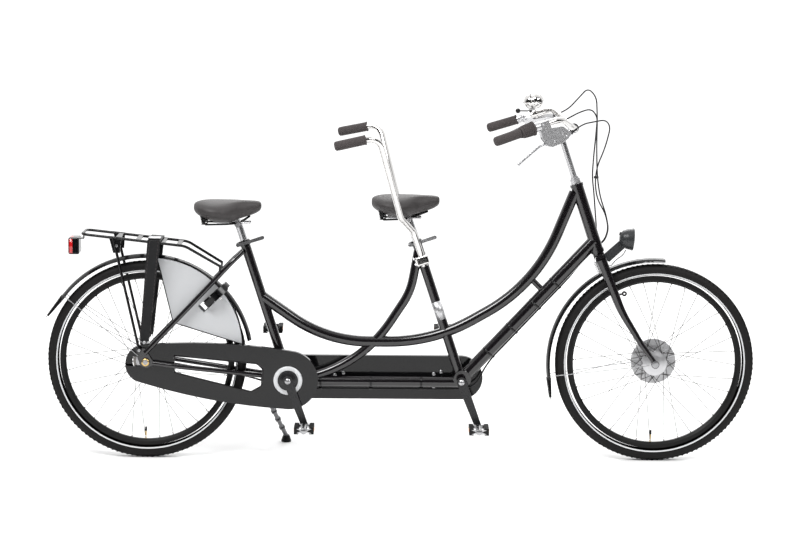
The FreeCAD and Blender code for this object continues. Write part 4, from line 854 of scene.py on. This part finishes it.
# ---------------------------------------------------------------- transmission details
def make_case_details():
    """The bright ring round the crank, the window's bead and the timing case's bolts."""
    outer = -60.0
    ring = [(outer - 1.5, 36), (outer - 4.2, 37), (outer - 4.6, 44), (outer - 4.2, 50), (outer - 1.5, 51.5)]
    vertices, faces = turned(ring, STOKER_BB, ACROSS, 72)
    add("crank_hole_ring", vertices, faces, reflective_band, "frame")
    window = [Vector((100, outer, 377)), Vector((250, outer, 363)), Vector((395, outer, 350)),
              Vector((416, outer, 330)), Vector((413, outer, 270)), Vector((372, outer, 248)),
              Vector((236, outer, 282)), Vector((100, outer, 315))]
    vertices, faces = tube(bent_line([*window, window[0]], share=0.25), 2.4, sides=8)
    add("chain_case_window_bead", vertices, faces, moulded_black, "frame")
    bolts = []
    for x, z in ((641, 294), (670, 294), (701, 302), (1026, 300), (1052, 308), (1026, 253)):
        bolts.append(turned([(0, 0), (0, 6.5), (2.4, 6.0), (3.2, 0)], (x, 42, z), (0, -1, 0), 20))
        bolts.append(turned([(0, 0), (0, 6.5), (2.4, 6.0), (3.2, 0)], (x, 65, z), (0, 1, 0), 20))
    vertices, faces = join(bolts)
    add("timing_case_bolts", vertices, faces, zinc_steel, "frame")


def crank_eye(bracket, side):
    """The pedal's end of a crank: the right one points down, the left one up."""
    return polar(bracket, CRANK_LENGTH, CRANK_ANGLE + 90.0 * side)


def make_crank_details():
    """Caps on the cranks' two ends, and the pedals."""
    for rider, bracket in (("stoker", STOKER_BB), ("captain", CAPTAIN_BB)):
        parts = []
        for side, face in ((-1, 79.0), (1, 82.0)):
            hub = turned([(0, 0), (0, 11), (3, 10), (4, 0)], at_y(bracket, side * face), (0, side, 0), 36)
            eye = crank_eye(bracket, side)
            parts.append(hub)
            parts.append(turned([(0, 0), (0, 8), (2, 7), (2.5, 0)], at_y(eye, side * (face - 14)),
                                (0, -side, 0), 30))
        vertices, faces = join(parts)
        add(rider + "_crank_caps", vertices, faces, zinc_steel, rider + "_crankset")
        for word, side in (("right", -1), ("left", 1)):
            make_pedal_details(rider, word, bracket, side)


def make_pedal_details(rider, word, bracket, side):
    """Rubber ribs, reflectors and a round end cap on one pedal."""
    eye = crank_eye(bracket, side)
    start = 80.5 if side < 0 else 83.5
    near = side * start
    far = side * (start + 104)
    body = rider + "_pedal_" + word[0]
    ribs = []
    for offset in (-27, 27):
        for index in range(9):
            y = near + side * (12 + index * 10)
            for height in (-12.2, 12.2):
                ribs.append(block((eye.x + offset, y, eye.z + height), (14, 5.5, 1.6), chamfer=0.6))
    vertices, faces = join(ribs)
    add(f"{rider}_pedal_{word}_ribs", vertices, faces, soft_rubber, body, smooth=False)
    reflectors = []
    for offset in (-35.4, 35.4):
        reflectors.append(block((eye.x + offset, (near + far) / 2, eye.z), (2.0, 44, 12), chamfer=0.8))
    vertices, faces = join(reflectors)
    add(f"{rider}_pedal_{word}_reflectors", vertices, faces, amber_lens, body, smooth=False)
    cap = [(0, 0), (0, 10.5), (2.0, 10.5), (3.6, 8), (3.8, 0)]
    vertices, faces = turned(cap, at_y(eye, far), (0, side, 0), 32)
    add(f"{rider}_pedal_{word}_cap", vertices, faces, zinc_steel, body)
    paint_part(f"{rider}_pedal_{word}", alloy, lambda p: abs(p.x - eye.x) < 18.5)


# ---------------------------------------------------------------- lights, bell, levers
def make_headlight_details():
    """The lamp's lens, rim, switch and the short wire down to the fork crown."""
    tilt = math.radians(4.5)
    axis = Vector((math.cos(tilt), 0, -math.sin(tilt)))
    base = Vector((1681, 0, 801))
    vertices, faces = turned([(48.8, 36), (51, 35), (53, 24), (54, 10), (54.2, 0)], base, axis, 64)
    add("headlight_lens", vertices, faces, clear_lens, "fork")
    vertices, faces = turned([(44, 38.9), (48, 39.6), (50.5, 39), (51, 36), (49.5, 35)], base, axis, 64)
    add("headlight_rim", vertices, faces, lamp_grey, "fork")
    knob = [(2, 0), (-6, 0.5), (-6, 6), (-1, 7), (2, 6)]
    vertices, faces = turned(knob, base + Vector((6, 0, 16)), (1, 0, -0.3), 24)
    add("headlight_switch", vertices, faces, moulded_black, "fork")
    wire = bent_line([Vector((1704, -6, 760)), Vector((1694, -8, 742)), Vector((1668, -9, 724)),
                      Vector((1650, -10, 700)), Vector((1634, -20, 712))])
    vertices, faces = tube(wire, 1.6, sides=8)
    add("headlight_wire", vertices, faces, cable_skin, "fork")


def make_tail_light_details():
    vertices, faces = block((-265.5, 0, 764), (20, 74.8, 60.8), chamfer=5)
    add("tail_light_lens", vertices, faces, red_lens, "frame")
    ribs = []
    for index in range(5):
        ribs.append(block((-275.9, 0, 744 + index * 10), (1.6, 62, 2.2), chamfer=0.5))
    vertices, faces = join(ribs)
    add("tail_light_ribs", vertices, faces, red_lens, "frame", smooth=False)


def make_lever_details():
    """Screws on the brake levers' housings, and the ribs of the twist shifter."""
    parts = []
    for side in (-1, 1):
        for along, above in ((53, -66), (30, 2), (88, -50), (100, -62)):
            for out in (-11, 11):
                centre = lever_spot(side, along, above, out)
                normal = lever_spot(side, along, above, out * 2) - centre
                parts.append(turned([(0, 0), (0, 4.5), (1.4, 4.2), (2, 0)], centre, normal, 18))
    vertices, faces = join(parts)
    add("lever_screws", vertices, faces, zinc_steel, "fork")
    shifter_ribs = []
    start = 95.0
    first, second = sideways(BAR_ALONG)
    for index in range(24):
        angle = 2 * math.pi * index / 24
        outward = first * math.cos(angle) + second * math.sin(angle)
        rib = [bar_point(start + 6) + outward * 21.2, bar_point(start + 25) + outward * 22.3,
               bar_point(start + 43) + outward * 23.0]
        shifter_ribs.append(tube(rib, [0.8, 1.4, 0.9], sides=6))
    vertices, faces = join(shifter_ribs)
    add("shifter_ribs", vertices, faces, grip_rubber, "shifter")


def grip_ribs(name, start, along, length, body):
    """Fine rings round a grip, with a flange at one end."""
    profile = [(2, 16.2)]
    count = int((length - 14) / 4)
    for index in range(count):
        base = 7 + index * 4
        profile.extend([(base, 16.2), (base + 1, 16.9), (base + 2.4, 16.9), (base + 3.4, 16.2)])
    profile.extend([(length - 5, 16.2), (length - 4, 18.0), (length - 1, 18.0), (length, 15.5)])
    vertices, faces = turned(profile, start, along, 40)
    add(name, vertices, faces, grip_rubber, body)


def make_grips():
    grip_ribs("captain_grip_right_ribs", bar_point(0), BAR_ALONG, 94, "fork")
    grip_ribs("captain_grip_left_ribs", bar_point(0, 1), LEFT_ALONG, 112, "fork")
    for word, side in (("right", -1), ("left", 1)):
        start = Vector((678, side * 318, 1149))
        end = Vector((824, side * 290, 1180))
        grip_ribs(f"stoker_grip_{word}_ribs", start, end - start, 106, "frame")


def make_bell_details():
    axis = Vector((0.966, -0.2, 0.16)).normalized()
    centre = Vector((1382, 232, 1272))
    nuts = []
    for way in (-1, 1):
        nuts.append(turned([(34.5, 0), (34.5, 6), (37, 5), (38.5, 0)], centre, axis * way, 24))
    vertices, faces = join(nuts)
    add("bell_cap_nuts", vertices, faces, chrome, "fork")


# ---------------------------------------------------------------- rack, guards, small fittings
def make_rack_details():
    """Stitching and the bright clip plate on the straps, bolts at the rack's feet."""
    top = 791.5
    vertices, faces = block((33, -54, top + 7), (44, 48, 4), chamfer=1.5)
    add("strap_clip_plate", vertices, faces, dull_alloy, "frame", smooth=False)
    seams = []
    for side in (-1, 1):
        for share in (-0.32, 0.32):
            for index in range(26):
                t = index / 26
                x = 33 + share * 46 + (-3 - 33) * t
                z = 786 + (430 - 786) * t
                seams.append(block((x + share * 10 * t, side * 84.3, z), (1.4, 1.0, 8.0)))
    vertices, faces = join(seams)
    add("strap_stitching", vertices, faces, grip_rubber, "frame", smooth=False)
    bolts = []
    for side in (-1, 1):
        bolts.append(hexagon_bolt((-22, side * 80, 398), (0, side, 0), 6, 5))
        bolts.append(hexagon_bolt((-3, side * 86, 428), (0, side, 0), 6, 4))
        bolts.append(hexagon_bolt((-100, side * 71.5, 770), (0, side, 0), 5, 4))
    vertices, faces = join(bolts)
    add("rack_bolts", vertices, faces, zinc_steel, "frame", smooth=False)


def make_fasteners():
    """The brass washer, and the stems' bolts."""
    vertices, faces = turned([(0, 8), (0, 13.5), (1.6, 13.5), (1.6, 8)], (0, -79.6, 355), (0, -1, 0), 40)
    add("brass_washer", vertices, faces, brass, "frame")
    head = Vector((-math.sin(HEAD_ANGLE), 0, math.cos(HEAD_ANGLE)))
    top = Vector((1551 + (915 - 1150) * math.tan(HEAD_ANGLE), 0, 1150))
    parts = [hexagon_bolt(top + head * 12, head, 7, 5)]
    parts.append(hexagon_bolt((1506, -12, 1176), (-0.2, -0.1, -1), 5, 5))
    parts.append(hexagon_bolt((1506, 12, 1176), (-0.2, 0.1, -1), 5, 5))
    vertices, faces = join(parts)
    add("stem_bolts", vertices, faces, zinc_steel, "fork", smooth=False)
    parts = []
    for along in (-11, 11):
        for side in (-1, 1):
            centre = Vector((979, 0, 722)) + Vector((0.3155, 0, -0.949)) * along
            parts.append(hexagon_bolt(centre + Vector((-24, side * 20, -8)), (-0.95, 0, -0.31), 5, 4))
    vertices, faces = join(parts)
    add("stoker_stem_bolts", vertices, faces, zinc_steel, "frame", smooth=False)


def make_seat_tube_band():
    """The bright protective band on the captain's seat tube."""
    lean = math.radians(CAPTAIN_SEAT_ANGLE)
    up = Vector((-math.sin(lean), 0, math.cos(lean)))
    low = CAPTAIN_BB + up * ((505 - 290) / math.cos(lean))
    length = 65 / math.cos(lean)
    vertices, faces = turned([(0, 17.5), (0, 18.4), (length, 18.4), (length, 17.5)], low, up, 48)
    add("seat_tube_band", vertices, faces, dull_alloy, "frame")


def make_stabiliser_spring():
    """The small coil spring behind the fork crown."""
    start = Vector((1590, -18, 726))
    end = Vector((1612, -20, 672))
    line = [start, start.lerp(end, 0.12), *helix(start.lerp(end, 0.15), start.lerp(end, 0.85), 5.5, 11, 10),
            start.lerp(end, 0.88), end]
    vertices, faces = tube(line, 1.0, sides=6)
    add("steering_spring", vertices, faces, spring_steel, "fork")


def make_lock_details():
    """The ring lock's key and keyhole plate."""
    direction = polar(Vector(), 1.0, 43.5)
    side = polar(Vector(), 1.0, 133.5)
    centre = REAR_AXLE + direction * 352 + Vector((0, -66, 0))
    plate = turned([(12.9, 0), (12.9, 9), (14.4, 8), (14.4, 0)], centre, -side, 24)
    key = block(centre - side * 19, (2.2, 12, 16), along=direction, up=side, chamfer=1)
    vertices, faces = join([plate, key])
    add("lock_key", vertices, faces, chrome, "frame")


def make_guard_details():
    """Translucent panels of the coat guards, framed by the black wire."""
    paint_part("coat_guards", guard_film, lambda p: abs(p.y) < 32.3)


def guard_film():
    return surface("guard_film", (0.16, 0.19, 0.2), 0.35, fine=300, mottle=0.35, bump=0.5, pattern="wave",
                   pattern_scale=60.0, pattern_axis="DIAGONAL", alpha=0.68)


def make_flaps():
    """The curved flexible tails of the mudguards."""
    for name, centre, angle, length, body in (
            ("front", Vector((1806, 0, 351)), 189.0, 72, "fork"), ("rear", REAR_AXLE, 144.0, 88, "frame")):
        start = polar(centre, 381.0, angle)
        tangent = polar(Vector(), 1.0, angle + 90)
        outward = polar(Vector(), 1.0, angle)
        vertices = []
        faces = []
        steps = 8
        across = 12
        for row in range(steps + 1):
            share = row / steps
            half = 28.0 - 10.0 * share * share
            depth = 15.0 - 8.0 * share
            for layer in (0.0, -1.8):
                for column in range(across + 1):
                    side = 2.0 * column / across - 1
                    drop = depth * side * side
                    back = tangent * (length * share - 6)
                    sideways_by = ACROSS * (side * (half + layer))
                    vertices.append(start + back + sideways_by + outward * (1.0 - drop + layer))
        row_size = 2 * (across + 1)
        for row in range(steps):
            for column in range(across):
                for layer in range(2):
                    base = row * row_size + layer * (across + 1) + column
                    faces.append((base, base + 1, base + 1 + row_size, base + row_size))
            for column in (0, across):
                base = row * row_size + column
                faces.append((base, base + across + 1, base + across + 1 + row_size, base + row_size))
        for row in (0, steps):
            for column in range(across):
                base = row * row_size + column
                faces.append((base, base + 1, base + across + 2, base + across + 1))
        add(name + "_flap", vertices, faces, soft_rubber, body)


def make_second_finishes():
    """Faces of CAD nodes that are of another material than the rest of their node."""
    for name, axle in (("rear_mudguard", REAR_AXLE), ("front_mudguard", FRONT_AXLE)):
        paint_part(name, zinc_steel,
                   lambda p, axle=axle: (p - at_y(axle, p.y)).length < 366 and abs(p.y) > 24)
    paint_part("kickstand_leg", soft_rubber, lambda p: p.z < 32)
    paint_part("stem", dull_alloy, lambda p: p.z < 1035)
    make_guard_details()


make_camera()
make_studio()
paint_nodes()
make_second_finishes()
make_flaps()
make_wheels()
make_saddles()
make_cables()
make_case_details()
make_crank_details()
make_headlight_details()
make_tail_light_details()
make_lever_details()
make_grips()
make_bell_details()
make_rack_details()
make_fasteners()
make_seat_tube_band()
make_stabiliser_spring()
make_lock_details()
